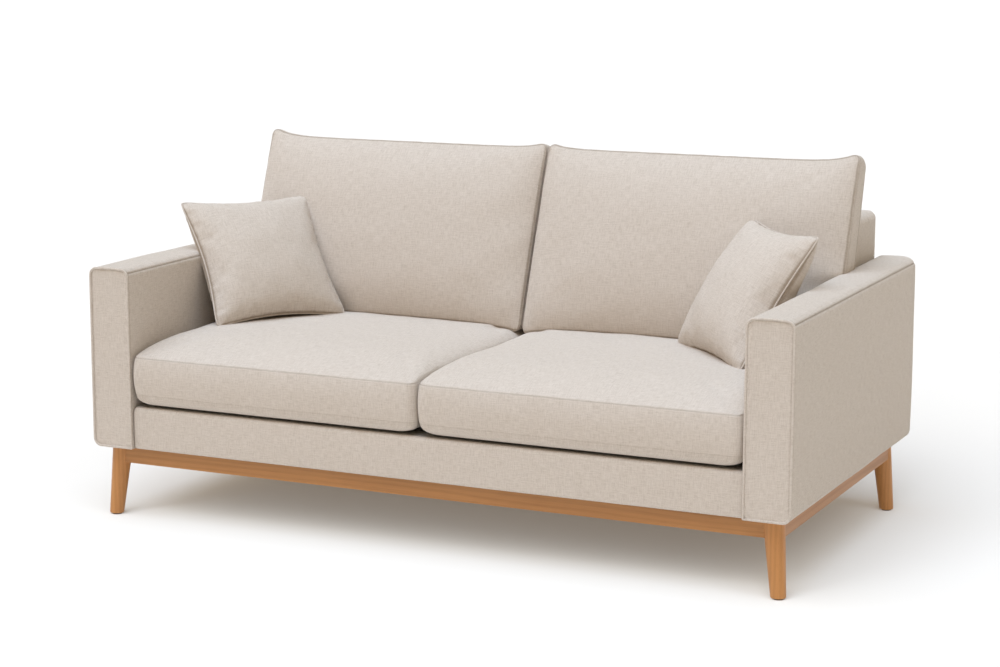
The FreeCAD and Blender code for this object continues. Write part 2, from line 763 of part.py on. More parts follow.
def cushion_span(side, inset):
    """Start of a cushion's padding across the sofa, and its length."""
    near_edge, far_edge = f"(middle_gap / 2 + {inset})", f"({INNER} - side_gap - {inset})"
    start = near_edge if side > 0 else f"-{far_edge}"
    return start, f"{far_edge} - {near_edge}"


def seat_block(name, side, inset):
    """A box cushion whose front rolls up to a flat crown, shrunk by the inset."""
    body = new_body(name)
    start, length = cushion_span(side, inset)
    section = sketch(body, "Section", "YZ_Plane", start)
    front, rear = f"(-seat_front + {inset})", f"(seat_rear - {inset})"
    crown = f"(seat_crown - {inset})"
    low = f"(deck_top + 1 + {inset})"
    outline(
        section,
        [
            (front, low), (front, f"seat_seam - {inset}"), (f"-seat_front + crown_depth + {inset}", crown),
            (rear, crown), (rear, low),
        ],
        {1: "crown_radius"},
    )
    block = pad(body, section, length)
    front_y = -size("seat_front") + start_value(inset)
    round_edges(body, block, "seat_corner", lambda e: runs_along(e, 2) and near(e.CenterOfMass.y, front_y))
    return body


def back_block(name, side, inset):
    """A leaning cushion with a bulging face, shrunk by the inset."""
    body = new_body(name)
    start, length = cushion_span(side, inset)
    section = sketch(body, "Section", "YZ_Plane", start)
    low = f"(seat_crown + 1 + {inset})"
    rear_plane = "-1.5"
    thickness = f"(back_thickness * cos(back_tilt) - 2 * {inset})"
    top_front = f"(back_seam - {inset})"
    top_rear = f"({top_front} - {thickness} * sin(back_tilt))"
    front_plane = f"({rear_plane} - {thickness} / cos(back_tilt) - {inset})"
    outline(
        section,
        [
            (slope(low, front_plane), low), (slope(top_front, front_plane), top_front),
            (slope(top_rear, f"{rear_plane} - {inset}"), top_rear), (slope(low, f"{rear_plane} - {inset}"), low),
        ],
        {0: "back_crown_radius"},
    )
    block = pad(body, section, length)
    round_edges(
        body, block, "back_corner",
        lambda e: runs_along(e, 0) and e.CenterOfMass.z > size("back_seam") - 60,
    )
    return body


def pillow_block(name, side_name, inset):
    """A square pillow, full in the middle and drawn in to its seam, shrunk by the inset."""
    body = new_body(name)
    half = f"(pillow / 2 - {inset})"
    face = f"(pillow_face / 2 - {inset})"
    rise = f"(pillow_thickness / 2 - {inset})"
    squares = []
    for label, offset, reach in (("Rear", f"-{rise}", face), ("Seam", "0", half), ("Front", rise, face)):
        square = sketch(body, label, "XZ_Plane", offset)
        rectangle(square, across(reach), across(reach))
        squares.append(square)
    loft = body.newObject("PartDesign::AdditiveLoft", "Pillow")
    loft.Profile = squares[0]
    loft.Sections = squares[1:]
    loft.Ruled = True
    rest = PILLOWS[side_name]
    turn = FreeCAD.Rotation(Vector(0, 0, 1), rest["turn"])
    lean = FreeCAD.Rotation(Vector(1, 0, 0), rest["lean"])
    body.Placement = FreeCAD.Placement(rest["place"], turn * lean)
    doc.recompute()
    return body


def cushion(label, fill_label, make_block):
    """A cushion as its filling and the cover that closes round it."""
    whole = make_block(label + "_whole", "0")
    fill = make_block(fill_label, "cover")
    node(fill_label, fill)
    return node(label, cut(label, whole, [fill]))


def make_cushions():
    """Seat cushions, back cushions and throw pillows."""
    for side_name, side in SIDES.items():
        cushion(f"seat_cushion_{side_name}", f"seat_foam_{side_name}", lambda n, i: seat_block(n, side, i))
        cushion(f"back_cushion_{side_name}", f"back_fill_{side_name}", lambda n, i: back_block(n, side, i))
        cushion(f"throw_pillow_{side_name}", f"pillow_fill_{side_name}", lambda n, i: pillow_block(n, side_name, i))


# ---------------------------------------------------------------- build, check and write


def check():
    """Stop if any object failed or any sub-part isn't a sound solid."""
    failed = [o.Name for o in doc.Objects if "Invalid" in o.State or "Error" in o.State]
    if failed:
        raise RuntimeError(f"failed objects: {failed}")
    for name, obj in nodes.items():
        shape = obj.Shape
        if shape.isNull() or not shape.isValid() or not shape.Solids:
            raise RuntimeError(f"{name} is not a valid solid")


make_base()
make_arms()
make_seat_frame()
seat_border()
make_springs()
make_back_frame()
make_cushions()
doc.recompute()
check()

os.makedirs("parts", exist_ok=True)
for name, obj in nodes.items():
    obj.Shape.exportStep(f"parts/{name}.step")
whole = Part.makeCompound([obj.Shape for obj in nodes.values()])
print(f"{len(nodes)} sub-parts, box {whole.BoundBox}")
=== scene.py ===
import json
import math

import bpy
import numpy as np
from mathutils import Matrix, Vector


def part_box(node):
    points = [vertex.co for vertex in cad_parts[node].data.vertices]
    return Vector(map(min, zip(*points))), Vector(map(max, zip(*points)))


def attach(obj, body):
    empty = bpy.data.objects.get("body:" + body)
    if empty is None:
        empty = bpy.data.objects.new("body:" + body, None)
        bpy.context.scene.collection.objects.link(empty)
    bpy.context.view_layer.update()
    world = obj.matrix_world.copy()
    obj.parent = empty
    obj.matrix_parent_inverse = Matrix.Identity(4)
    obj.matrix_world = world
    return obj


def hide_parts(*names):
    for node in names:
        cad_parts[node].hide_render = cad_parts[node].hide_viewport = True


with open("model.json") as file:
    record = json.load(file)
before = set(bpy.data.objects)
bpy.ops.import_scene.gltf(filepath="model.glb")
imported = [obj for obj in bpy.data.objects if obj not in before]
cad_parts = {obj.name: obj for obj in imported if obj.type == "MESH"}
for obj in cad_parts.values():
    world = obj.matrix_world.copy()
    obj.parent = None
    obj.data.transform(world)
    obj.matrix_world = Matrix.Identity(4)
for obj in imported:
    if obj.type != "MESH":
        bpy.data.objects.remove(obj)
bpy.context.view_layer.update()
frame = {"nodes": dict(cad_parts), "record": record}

bl_info = {
    "name": "Sofa with Wooden Legs",
    "version": (1, 0, 0),
    "blender": (4, 5, 0),
    "location": "3D View > Sidebar > Sofa",
    "description": "Upholstery, piping, cushions and finishes round the sofa's timber frame",
    "category": "Object",
}

SIDES = {"left": -1, "right": 1}
MM = 0.001


# ---------------------------------------------------------------- sizes and colours


def length(name, description, default):
    """A length property in metres."""
    return bpy.props.FloatProperty(
        name=name, description=description, default=default, unit="LENGTH", subtype="DISTANCE", precision=4
    )


def colour(name, description, default):
    """A colour property, red, green and blue."""
    return bpy.props.FloatVectorProperty(
        name=name, description=description, default=default, size=3, subtype="COLOR", min=0.0, max=1.0
    )


def share(name, description, default):
    """A plain number property."""
    return bpy.props.FloatProperty(name=name, description=description, default=default, precision=3)


def angle(name, description, default):
    """An angle property, given in degrees."""
    return bpy.props.FloatProperty(
        name=name, description=description, default=math.radians(default), unit="ROTATION", subtype="ANGLE"
    )


class SofaCloth(bpy.types.PropertyGroup):
    """Linen, piping and lining."""

    linen: colour("Linen", "Thread colour of the covers", (0.700, 0.634, 0.570))
    linen_deep: colour("Linen in the weave", "Colour between the threads", (0.375, 0.305, 0.242))
    thread: length("Thread", "Width of one thread of the weave", 0.0011)
    relief: length("Weave relief", "Height of a thread over its neighbour", 0.00028)
    slub: share("Slub", "How strongly thick threads show", 0.80)
    mottle: share("Mottle", "How much the colour wanders", 0.42)
    lining: colour("Lining", "Dust cover and deck cloth", (0.055, 0.052, 0.050))


class SofaTimber(bpy.types.PropertyGroup):
    """Oak of the base and the plain timber inside."""

    oak: colour("Oak", "Light wood between the rings", (0.600, 0.276, 0.080))
    oak_deep: colour("Oak grain", "Dark late wood and pores", (0.300, 0.116, 0.030))
    ring: length("Ring", "Distance from one ring to the next", 0.013)
    softwood: colour("Softwood", "Timber of the inner frame", (0.610, 0.440, 0.270))
    plywood: colour("Plywood", "Gables and panels", (0.560, 0.400, 0.240))


class SofaArms(bpy.types.PropertyGroup):
    """Box arms."""

    top_round: length("Top edge", "Rounding of the arm's long top edges", 0.018)
    bottom_round: length("Bottom outer edge", "Rounding of the outer bottom edge", 0.020)
    rear_round: length("Rear outer corner", "Rounding of the rear outer corner", 0.040)
    crown: length("Crown", "Rise of the padding over the arm's top", 0.003)
    side_fill: length("Side fill", "Swell of the padding on the arm's sides", 0.0025)
    rise: length("Rise", "How much higher the arm's top is at the rear", 0.008)
    welt: length("Welt", "Radius of the piping round the front panel", 0.0030)


class SofaSeat(bpy.types.PropertyGroup):
    """Seat cushions."""

    shift: length("Gap", "How far left of the middle the gap between the seat cushions lies", 0.008)
    seam_rise: length("Seam height", "Top seam over the cushion's underside", 0.119)
    corner: length("Corner", "Rounding of the upright corners", 0.024)
    bottom_round: length("Bottom edge", "Rounding of the bottom edge", 0.025)
    crown: length("Crown", "Rise of the top from its seam", 0.037)
    middle: length("Middle", "Further rise in the middle", 0.013)
    roll: length("Roll", "How far back the front edge keeps rolling up", 0.052)
    end_roll: length("End roll", "How far in the ends keep rolling up", 0.042)
    swell: length("Swell", "Bulge of the front band", 0.006)


class SofaBack(bpy.types.PropertyGroup):
    """Back cushions."""

    lean: angle("Lean", "Lean of the back cushions from upright", 20.0)
    foot: length("Foot", "Rear plane behind the seat cushion's rear, at the foot", 0.0072)
    band: length("Band", "Width of the boxing between the two seams", 0.088)
    taper: share("Taper", "Share of the boxing's width lost at the top", 0.30)
    bulge: length("Bulge", "Rise of the face in its middle", 0.056)
    roll: length("Roll", "How far in the face keeps rolling up", 0.066)
    fold: share("Fold", "Share of the rise that turns over sharply at the ends and the foot", 0.45)
    corner: length("Corner", "Rounding of the corners of the outline", 0.022)
    ear: length("Ear", "Rise of the top outer corners over the edge between", 0.029)
    spread_left: length("Left spread", "How far the left cushion's end swells over the arm", 0.036)
    spread_right: length("Right spread", "How far the right cushion's end swells over the arm", 0.025)
    shift: length("Gap", "How far left of the middle the gap between the back cushions lies", 0.009)
    sag: length("Sag", "How far the bottom corners settle into the hollow between the seats", 0.018)
    top: length("Top edge", "Middle of the top edge below the cushion's highest point", 0.006)


class SofaPillows(bpy.types.PropertyGroup):
    """Throw pillows."""

    side: length("Side", "Side of a throw pillow from corner to corner", 0.366)
    thickness: length("Thickness", "Thickness through the middle", 0.132)
    draw: length("Draw", "How far the edges are drawn in between the corners", 0.019)
    swell_front: length("Front swell", "Sideways swell of the front face past the seam", 0.004)
    swell_rear: length("Rear swell", "Sideways swell of the rear face past the seam", 0.012)
    cord: length("Seam", "Radius of the seam's ridge", 0.0021)
    turn_left: angle("Left turn", "Turn of the left pillow's face", 56.0)
    lean_left: angle("Left lean", "Lean of the left pillow", -36.8)
    turn_right: angle("Right turn", "Turn of the right pillow's face", -46.0)
    lean_right: angle("Right lean", "Lean of the right pillow", -32.6)


class SofaStage(bpy.types.PropertyGroup):
    """Floor, light and camera."""

    floor: colour("Floor", "Pale floor", (0.36, 0.36, 0.365))
    glow: share("Floor glow", "Light given off by the floor, which softens the shadow", 0.19)
    glow_colour: colour("Glow colour", "Colour of the floor's own light", (1.0, 0.821, 0.653))
    sky: share("Sky", "Light from all round", 0.466)
    sky_colour: colour("Sky colour", "Colour of the light from all round", (1.0, 0.80, 0.53))
    key: share("Key", "Soft light from above", 3.19)
    key_colour: colour("Key colour", "Colour of the light from above", (0.619, 0.793, 1.0))
    fill: share("Fill", "Soft light from the front", 0.468)
    fill_colour: colour("Fill colour", "Colour of the light from the front", (1.0, 0.703, 0.541))
    floor_key: share("Floor light", "Light from the front that falls on the floor alone", 5.2)
    floor_left: share("Floor light, left", "Light from the left that falls on the floor alone", 0.83)
    floor_right: share("Floor light, right", "Light from the right that falls on the floor alone", 1.72)
    floor_colour: colour("Floor light colour", "Colour of the floor's own lamps", (0.897, 0.966, 1.0))
    camera: bpy.props.FloatVectorProperty(
        name="Camera", description="Place of the camera", default=(2.3634, -5.1119, 1.4499), size=3,
        subtype="TRANSLATION", unit="LENGTH",
    )
    yaw: angle("Yaw", "Turn of the view to the left", 25.035)
    pitch: angle("Pitch", "Dip of the view", 10.0819)
    roll: angle("Roll", "Turn about the view", -0.1274)
    lens: bpy.props.FloatProperty(
        name="Lens", description="Focal length in millimetres on a 36 mm frame", default=82.754, subtype="NONE"
    )


GROUPS = {
    "sofa_cloth": SofaCloth, "sofa_timber": SofaTimber, "sofa_arms": SofaArms, "sofa_seat": SofaSeat,
    "sofa_back": SofaBack, "sofa_pillows": SofaPillows, "sofa_stage": SofaStage,
}


# ---------------------------------------------------------------- surfaces


def wander(seed, place, wave, count=14):
    """A smooth random height: the sum of sine waves of random direction, length near wave and phase."""
    draw = np.random.default_rng(seed)
    place = np.asarray(place, float)
    way = draw.normal(size=(count, place.shape[-1]))
    way /= np.linalg.norm(way, axis=1)[:, None]
    way *= (2 * np.pi / wave) * draw.uniform(0.6, 1.7, count)[:, None]
    return np.sin(place @ way.T + draw.uniform(0, 2 * np.pi, count)).sum(-1) / math.sqrt(count)


def steps(start, end, stride, close=(), gaps=(1.3, 2.8, 5.0)):
    """Places from start to end a stride apart, with closer ones on both sides of each place in close."""
    even = np.linspace(start, end, max(2, int(round((end - start) / stride)) + 1))
    near = [c + sign * gap * MM for c in close for gap in (0.0, *gaps) for sign in (-1, 1)]
    near = [n for n in near if start < n < end]
    kept = [e for e in even[1:-1] if not near or np.abs(np.array(near) - e).min() > 0.45 * stride]
    return np.unique(np.round(np.array([start, end, *kept, *near]), 7))


def fractions(span, stride, ends=0.0):
    """Shares of a span from 0 to 1, about a stride apart, drawn towards both ends by the amount of ends."""
    even = np.linspace(0, 1, max(2, int(round(span / stride)) + 1))
    return (1 - ends) * even + ends * (1 - np.cos(np.pi * even)) / 2


def rounded_rings(low, high, radii, arc, across, up):
    """Rounded rectangles, one per row: a quarter circle of its radius in each corner, straight lines between.
    Each ring starts in the middle of the first corner's arc and runs anticlockwise. low and high are corners
    of the rectangle, radii the four corners' radii, arc the steps in half a corner, across and up the shares."""
    low, high, radii = (np.atleast_2d(np.asarray(v, float)) for v in (low, high, radii))
    pick = np.array([[0, 0], [1, 0], [1, 1], [0, 1]])
    corners = low[:, None] * (1 - pick) + high[:, None] * pick
    centres = corners + (1 - 2 * pick) * radii[..., None]
    half = np.linspace(0, np.pi / 4, arc + 1)
    parts = []
    for side in range(4):
        after = (side + 1) % 4
        begin = np.pi * (1 + side / 2) + np.pi / 4 + half
        finish = np.pi * (1.5 + side / 2) + half
        turn_out = np.stack([np.cos(begin), np.sin(begin)], -1)
        turn_in = np.stack([np.cos(finish), np.sin(finish)], -1)
        first = centres[:, side, None] + radii[:, side, None, None] * turn_out
        last = centres[:, after, None] + radii[:, after, None, None] * turn_in
        share_of = (across if side % 2 == 0 else up)[1:-1, None]
        straight = first[:, -1:] * (1 - share_of) + last[:, :1] * share_of
        parts += [first, straight, last[:, :-1]]
    return np.concatenate(parts, axis=1)


def running(points):
    """Distance along a row of points, from its first."""
    return np.concatenate([[0], np.cumsum(np.linalg.norm(np.diff(points, axis=0), axis=1))])


def patch(bottom, right, top, left):
    """A four-sided patch: the mean of the lines between opposite sides, less the plane twist of its corners."""
    s = running(bottom) / running(bottom)[-1]
    t = running(left) / running(left)[-1]
    s, t = s[:, None, None], t[None, :, None]
    lines = (1 - t) * bottom[:, None] + t * top[:, None] + (1 - s) * left[None] + s * right[None]
    twist = (1 - s) * (1 - t) * bottom[0] + s * (1 - t) * bottom[-1] + s * t * top[-1] + (1 - s) * t * top[0]
    return lines - twist


class Skin:
    """A closed skin: a stack of rings, each end closed by a patch. Holds points, faces, the cloth's own
    coordinates in metres, and index grids of the wall (rings), the first end and the last end."""

    def __init__(self, rings, sides):
        count, around = rings.shape[:2]
        a, b = sides
        self.sides = sides
        self.wall = np.arange(count * around).reshape(count, around)
        widest = rings[np.argmax([running(r)[-1] for r in rings])]
        turn = running(np.vstack([widest, widest[:1]]))
        climb = running(rings[:, a // 2])
        cloth = np.stack(np.broadcast_arrays(turn[None, :], climb[:, None]), -1)
        closed = np.hstack([self.wall, self.wall[:, :1]])
        faces, maps = [self.cells(closed)], [self.cells(cloth)]
        points = [rings.reshape(-1, 3)]
        total = count * around
        ends = []
        for end in (0, -1):
            loop = np.append(self.wall[end], self.wall[end][0])
            ring = rings[end][np.append(np.arange(around), 0)]
            edges = (slice(0, a + 1), slice(a, a + b + 1), slice(a + b, 2 * a + b + 1), slice(2 * a + b, None))
            bottom, right, top, left = (ring[e] if n < 2 else ring[e][::-1] for n, e in enumerate(edges))
            grid = np.empty((a + 1, b + 1), int)
            grid[:, 0], grid[-1] = loop[edges[0]], loop[edges[1]]
            grid[:, -1], grid[0] = loop[edges[2]][::-1], loop[edges[3]][::-1]
            inner = patch(bottom, right, top, left)[1:-1, 1:-1].reshape(-1, 3)
            grid[1:-1, 1:-1] = (total + np.arange(len(inner))).reshape(a - 1, b - 1)
            total += len(inner)
            points.append(inner)
            across, up = running(bottom), running(left)
            plan = np.stack(np.broadcast_arrays(across[:, None], up[None, :]), -1)
            face, chart = self.cells(grid.T), self.cells(plan.transpose(1, 0, 2))
            if end == 0:
                face, chart = face[:, ::-1], chart[:, ::-1]
            faces.append(face)
            maps.append(chart)
            ends.append((grid, across, up))
        self.points = np.vstack(points)
        self.faces = np.vstack(faces)
        self.maps = np.vstack(maps)
        self.first, self.last = ends
        # seam: painted shade along the seams' grooves, from 0 to 1, which darkens the linen
        self.seam = np.zeros(len(self.points))
        self.held = np.zeros(len(self.points))
        self.press = np.zeros(len(self.points))

    @staticmethod
    def cells(grid):
        """The four corners of each cell of a grid, anticlockwise, as rows."""
        corners = [grid[:-1, :-1], grid[:-1, 1:], grid[1:, 1:], grid[1:, :-1]]
        stacked = np.stack(corners, 2)
        return stacked.reshape(-1, 4, *grid.shape[2:])

    def outward(self):
        """The outward direction at each point: the sum of its faces' cross products, made one long."""
        corner = self.points[self.faces]
        cross = np.cross(corner[:, 2] - corner[:, 0], corner[:, 3] - corner[:, 1])
        total = np.zeros_like(self.points)
        for k in range(4):
            np.add.at(total, self.faces[:, k], cross)
        return total / np.maximum(np.linalg.norm(total, axis=1), 1e-12)[:, None]

    def sew(self, index, away, depth=1.5 * MM, width=2.2 * MM, seam_shade=1.0):
        """Marks a seam: a groove as deep as depth times e to the minus square of distance over width, with
        painted shade of the same spread along it. The last argument is how dark that painted shade is."""
        dip = np.exp(-((np.broadcast_to(away, index.shape) / width) ** 2))
        np.maximum.at(self.seam, index.ravel(), seam_shade * dip.ravel())
        np.maximum.at(self.held, index.ravel(), dip.ravel())
        np.maximum.at(self.press, index.ravel(), (depth * dip).ravel())

    def pull(self, height=0.0):
        """Moves each point out by height, less the depth of the grooves."""
        self.points = self.points + self.outward() * (height - self.press)[:, None]


def stack(flat, level, order, arc, across, up):
    """A skin from flat rings, each at its own level. order says which of a ring's first measure (0), its second
    (1) and its level (2) is x, y and z."""
    measures = (flat[..., 0], flat[..., 1], np.broadcast_to(level[:, None], flat.shape[:2]))
    rings = np.stack([measures[k] for k in order], -1)
    return Skin(rings, (2 * arc + len(across) - 1, 2 * arc + len(up) - 1))


def seam_distance(skin, near, drop):
    """Each point's distance from the top seam: near over the top face, the size of drop down the wall."""
    away = np.full(len(skin.points), 1.0)
    away[skin.last[0].ravel()] = near.ravel()
    np.minimum.at(away, skin.wall.ravel(), np.broadcast_to(np.abs(drop), skin.wall.shape).ravel())
    return away


def quarter(distance, reach):
    """A quarter circle's height, from 0 at the edge to 1 at its reach and beyond."""
    left = np.clip(1 - distance / reach, 0, 1)
    return np.sqrt(1 - left ** 2.2)


def edge_distance(across, up):
    """On a patch, the distances to its left, right, bottom and top edges."""
    s, t = across[:, None] + 0 * up[None], up[None] + 0 * across[:, None]
    return s, across[-1] - s, t, up[-1] - t


def build(name, skin, body, replaced=()):
    """Makes a linen object from a skin or a cord, rides it on its body and hides the CAD parts it replaces."""
    mesh = bpy.data.meshes.new(name)
    mesh.from_pydata(skin.points.tolist(), [], skin.faces.tolist())
    layer = mesh.uv_layers.new(name="cloth")
    layer.data.foreach_set("uv", skin.maps.reshape(-1).astype(np.float32))
    # the seam attribute carries the painted shade along the seams' grooves to the linen's colour
    seam_shade = mesh.attributes.new("seam", "FLOAT", "POINT")
    seam_shade.data.foreach_set("value", skin.seam.astype(np.float32))
    mesh.polygons.foreach_set("use_smooth", np.ones(len(skin.faces), bool))
    mesh.materials.append(finishes["linen"])
    mesh.update()
    piece = bpy.data.objects.new(name, mesh)
    bpy.context.scene.collection.objects.link(piece)
    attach(piece, body)
    if replaced:
        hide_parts(*replaced)
    return piece


class Cord:
    """A round cord along a closed path: circles square to the path, joined up into a ring."""

    def __init__(self, path, radius, sides):
        count = len(path)
        way = np.roll(path, -1, 0) - np.roll(path, 1, 0)
        way /= np.linalg.norm(way, axis=1)[:, None]
        side = np.cross((0.0, 1.0, 0.0), way)
        side /= np.maximum(np.linalg.norm(side, axis=1), 1e-9)[:, None]
        over = np.cross(way, side)
        turn = np.linspace(0, 2 * np.pi, sides, endpoint=False)
        ring = np.cos(turn)[None, :, None] * side[:, None] + np.sin(turn)[None, :, None] * over[:, None]
        self.points = (path[:, None] + radius * ring).reshape(-1, 3)
        self.seam = np.zeros(len(self.points))
        grid = np.pad(np.arange(count * sides).reshape(count, sides), ((0, 1), (0, 1)), "wrap")
        around = np.linspace(0, 2 * np.pi * radius, sides + 1)
        along = running(np.vstack([path, path[:1]]))
        chart = np.stack(np.broadcast_arrays(around[None, :], along[:, None]), -1)
        self.faces, self.maps = Skin.cells(grid), Skin.cells(chart)


CLOTH = {
    "quality": 6, "mass": 0.35, "tension_stiffness": 22, "compression_stiffness": 22, "shear_stiffness": 9,
    "bending_stiffness": 0.6, "air_damping": 3, "use_pressure": True, "vertex_group_mass": "held",
}
FRAMES = 20


def places(mesh):
    """A mesh's points as rows."""
    flat = np.empty(len(mesh.vertices) * 3)
    mesh.vertices.foreach_get("co", flat)
    return flat.reshape(-1, 3)


def fill(piece, pinned, cap, pressure, growth=0.0):
    """Blows the cover up like a stuffed cushion: cloth under an even pressure, no weight, held at its seams.
    Each point then moves cap times the hyperbolic tangent of its way over cap, never more than cap."""
    before = places(piece.data)
    group = piece.vertex_groups.new(name="held")
    for value in np.unique(np.round(pinned[pinned > 0.02], 2)):
        group.add([int(v) for v in np.flatnonzero(np.abs(pinned - value) < 0.005)], float(value), "REPLACE")
    cloth = piece.modifiers.new("Fill", "CLOTH")
    for key, value in CLOTH.items():
        setattr(cloth.settings, key, value)
    cloth.settings.uniform_pressure_force = pressure
    cloth.settings.shrink_min = growth
    cloth.settings.effector_weights.gravity = 0
    cloth.collision_settings.use_collision = False
    cloth.point_cache.frame_start = 1
    cloth.point_cache.frame_end = FRAMES
    scene = bpy.context.scene
    for number in range(1, FRAMES + 1):
        scene.frame_set(number)
    move = places(piece.evaluated_get(bpy.context.evaluated_depsgraph_get()).data) - before
    piece.modifiers.remove(cloth)
    piece.vertex_groups.remove(group)
    scene.frame_set(1)
    far = np.maximum(np.linalg.norm(move, axis=1), 1e-12)[:, None]
    return before + move * (cap * np.tanh(far / cap) / far)


def set_points(piece, points):
    """Writes new places into a mesh."""
    piece.data.vertices.foreach_set("co", np.asarray(points, np.float32).reshape(-1))
    piece.data.update()


# ---------------------------------------------------------------- shader groups and finishes


class Term:
    """A socket whose value takes part in sums: each sign makes a Math node."""

    def __init__(self, nodes, socket):
        self.nodes = nodes
        self.socket = socket

    def __add__(self, other):
        return self.nodes.math("ADD", self, other)

    def __sub__(self, other):
        return self.nodes.math("SUBTRACT", self, other)

    def __rsub__(self, other):
        return self.nodes.math("SUBTRACT", other, self)

    def __mul__(self, other):
        return self.nodes.math("MULTIPLY", self, other)

    def __truediv__(self, other):
        return self.nodes.math("DIVIDE", self, other)


class Nodes:
    """Short words for making nodes in a tree."""

    def __init__(self, tree):
        self.tree = tree

    def give(self, socket, value):
        """Links a socket or a term, or sets a plain value."""
        value = value.socket if isinstance(value, Term) else value
        if isinstance(value, bpy.types.NodeSocket):
            self.tree.links.new(value, socket)
        else:
            socket.default_value = value

    def add(self, kind, inputs=(), output=0, **properties):
        """A node with its properties set and its inputs given by name or place. Returns one output."""
        node = self.tree.nodes.new(kind)
        for key, value in properties.items():
            setattr(node, key, value)
        for key, value in dict(inputs).items():
            self.give(node.inputs[key], value)
        return Term(self, node.outputs[output])

    def math(self, operation, *values, clamp=False):
        """Arithmetic on one or two values."""
        return self.add("ShaderNodeMath", enumerate(values), operation=operation, use_clamp=clamp)

    def noise(self, vector, scale, detail=2.0, roughness=0.5):
        """Smooth noise from 0 to 1."""
        return self.add(
            "ShaderNodeTexNoise", {"Vector": vector, "Scale": scale, "Detail": detail, "Roughness": roughness}
        )

    def stretch(self, vector, scale, location=(0, 0, 0), rotation=(0, 0, 0)):
        """A vector stretched, moved and turned by a Mapping node."""
        return self.add(
            "ShaderNodeMapping", {"Vector": vector, "Scale": scale, "Location": location, "Rotation": rotation}
        )

    def mix(self, share_of, first, second):
        """A colour between two others."""
        node = self.tree.nodes.new("ShaderNodeMix")
        node.data_type = "RGBA"
        for socket, value in (("Factor", share_of), ("A", first), ("B", second)):
            self.give(node.inputs[socket], value)
        return node.outputs["Result"]

    def ramp(self, value, low, high):
        """A value spread from 0 at low to 1 at high, smoothly."""
        return self.add(
            "ShaderNodeMapRange", {"Value": value, "From Min": low, "From Max": high}, "Result",
            interpolation_type="SMOOTHSTEP",
        )


KINDS = {"value": "NodeSocketFloat", "colour": "NodeSocketColor", "vector": "NodeSocketVector"}


def new_group(name, **values):
    """An empty shader node group: its nodes, its inputs as terms and its output sockets. It takes a place,
    two colours and the plain values given, and puts out a colour, a height and a roughness."""
    tree = bpy.data.node_groups.new(name, "ShaderNodeTree")
    inputs = {"Place": "vector", "Light": "colour", "Deep": "colour", **dict.fromkeys(values, "value")}
    for label, kind in inputs.items():
        socket = tree.interface.new_socket(label, in_out="INPUT", socket_type=KINDS[kind])
        if label in values:
            socket.default_value = values[label]
    for label, kind in (("Colour", "colour"), ("Height", "value"), ("Roughness", "value")):
        tree.interface.new_socket(label, in_out="OUTPUT", socket_type=KINDS[kind])
    nodes = Nodes(tree)
    source = tree.nodes.new("NodeGroupInput").outputs
    given = {label: Term(nodes, source[label]) for label in inputs}
    return nodes, given, tree.nodes.new("NodeGroupOutput").inputs


def put_out(nodes, out, colour_, height, roughness):
    """Feeds a group's three outputs and returns its tree."""
    for label, value in (("Colour", colour_), ("Height", height), ("Roughness", roughness)):
        nodes.give(out[label], value)
    return nodes.tree


def weave_group():
    """Plain weave: two square waves across and along decide which thread is on top, each thread a raised half
    sine; noise drawn out along the threads makes thick slubs, and slow noise mottles the colour."""
    nodes, given, out = new_group("linen weave", Thread=0.0011, Slub=0.5, Mottle=0.5, Seam=0.0)
    place = given["Place"]
    split = nodes.tree.nodes.new("ShaderNodeSeparateXYZ")
    nodes.give(split.inputs[0], place)
    wobble = (nodes.noise(place, 55.0, 1.0) - 0.5) * 0.004
    waves = [
        nodes.math("SINE", (Term(nodes, split.outputs[k]) + wobble) / given["Thread"] * math.pi) for k in (0, 1)
    ]
    over = nodes.ramp(waves[0] * waves[1], -0.35, 0.35)
    warp, weft = (nodes.math("ABSOLUTE", wave) for wave in waves)
    thread = warp * over + weft * (1.0 - over)
    slub_across = nodes.noise(nodes.stretch(place, (46, 400, 46)), 1.0, 2.5, 0.65)
    slub_along = nodes.noise(nodes.stretch(place, (400, 46, 46), (7.3, 1.9, 0)), 1.0, 2.5, 0.65)
    slub = ((slub_across - 0.5) + (slub_along - 0.5)) * given["Slub"]
    fleck = nodes.noise(place, 300.0, 3.0, 0.75) - 0.5
    cloud = nodes.noise(place, 26.0, 3.0, 0.6) - 0.5
    mottle = (fleck + cloud * 0.15) * given["Mottle"]
    tone = thread * 0.45 + (slub + mottle) + 0.50
    # painted shade: the Seam input darkens the weave along the seams' grooves
    tone = nodes.math("SUBTRACT", tone, given["Seam"], clamp=True)
    return put_out(
        nodes, out, nodes.mix(tone, given["Deep"], given["Light"]), thread + slub * 1.2, 0.96 - thread * 0.10
    )


def grain_group():
    """Wood grain: rings are a wave over the distance across the board, bent by slow noise drawn out along the
    grain; fine pores are noise drawn out fifty times along it."""
    nodes, given, out = new_group("oak grain", Ring=0.007, Pores=0.5)
    place = given["Place"]
    bend = nodes.noise(nodes.stretch(place, (9, 9, 0.9)), 1.0, 2.0)
    split = nodes.tree.nodes.new("ShaderNodeSeparateXYZ")
    nodes.give(split.inputs[0], place)
    across = Term(nodes, split.outputs[0]) + Term(nodes, split.outputs[1]) * 0.45 + bend * 0.045
    ring = nodes.ramp(nodes.math("SINE", across / given["Ring"] * (2 * math.pi)), -0.6, 1.0)
    fibre = nodes.noise(nodes.stretch(place, (300, 300, 5)), 1.0, 4.0, 0.75)
    pore = nodes.noise(nodes.stretch(place, (1300, 1300, 26)), 1.0, 1.0)
    pore = nodes.ramp(pore, 0.60, 0.74) * given["Pores"]
    slow = nodes.noise(nodes.stretch(place, (14, 14, 1.6), (3.1, 0.7, 0)), 1.0, 2.0)
    tone = ring * 0.16 + fibre * 0.60 + slow * 0.55
    tone = nodes.math("ADD", tone - 0.36, pore * 0.4, clamp=True)
    return put_out(
        nodes, out, nodes.mix(tone, given["Light"], given["Deep"]), fibre * 0.5 - pore, tone * 0.22 + 0.40
    )


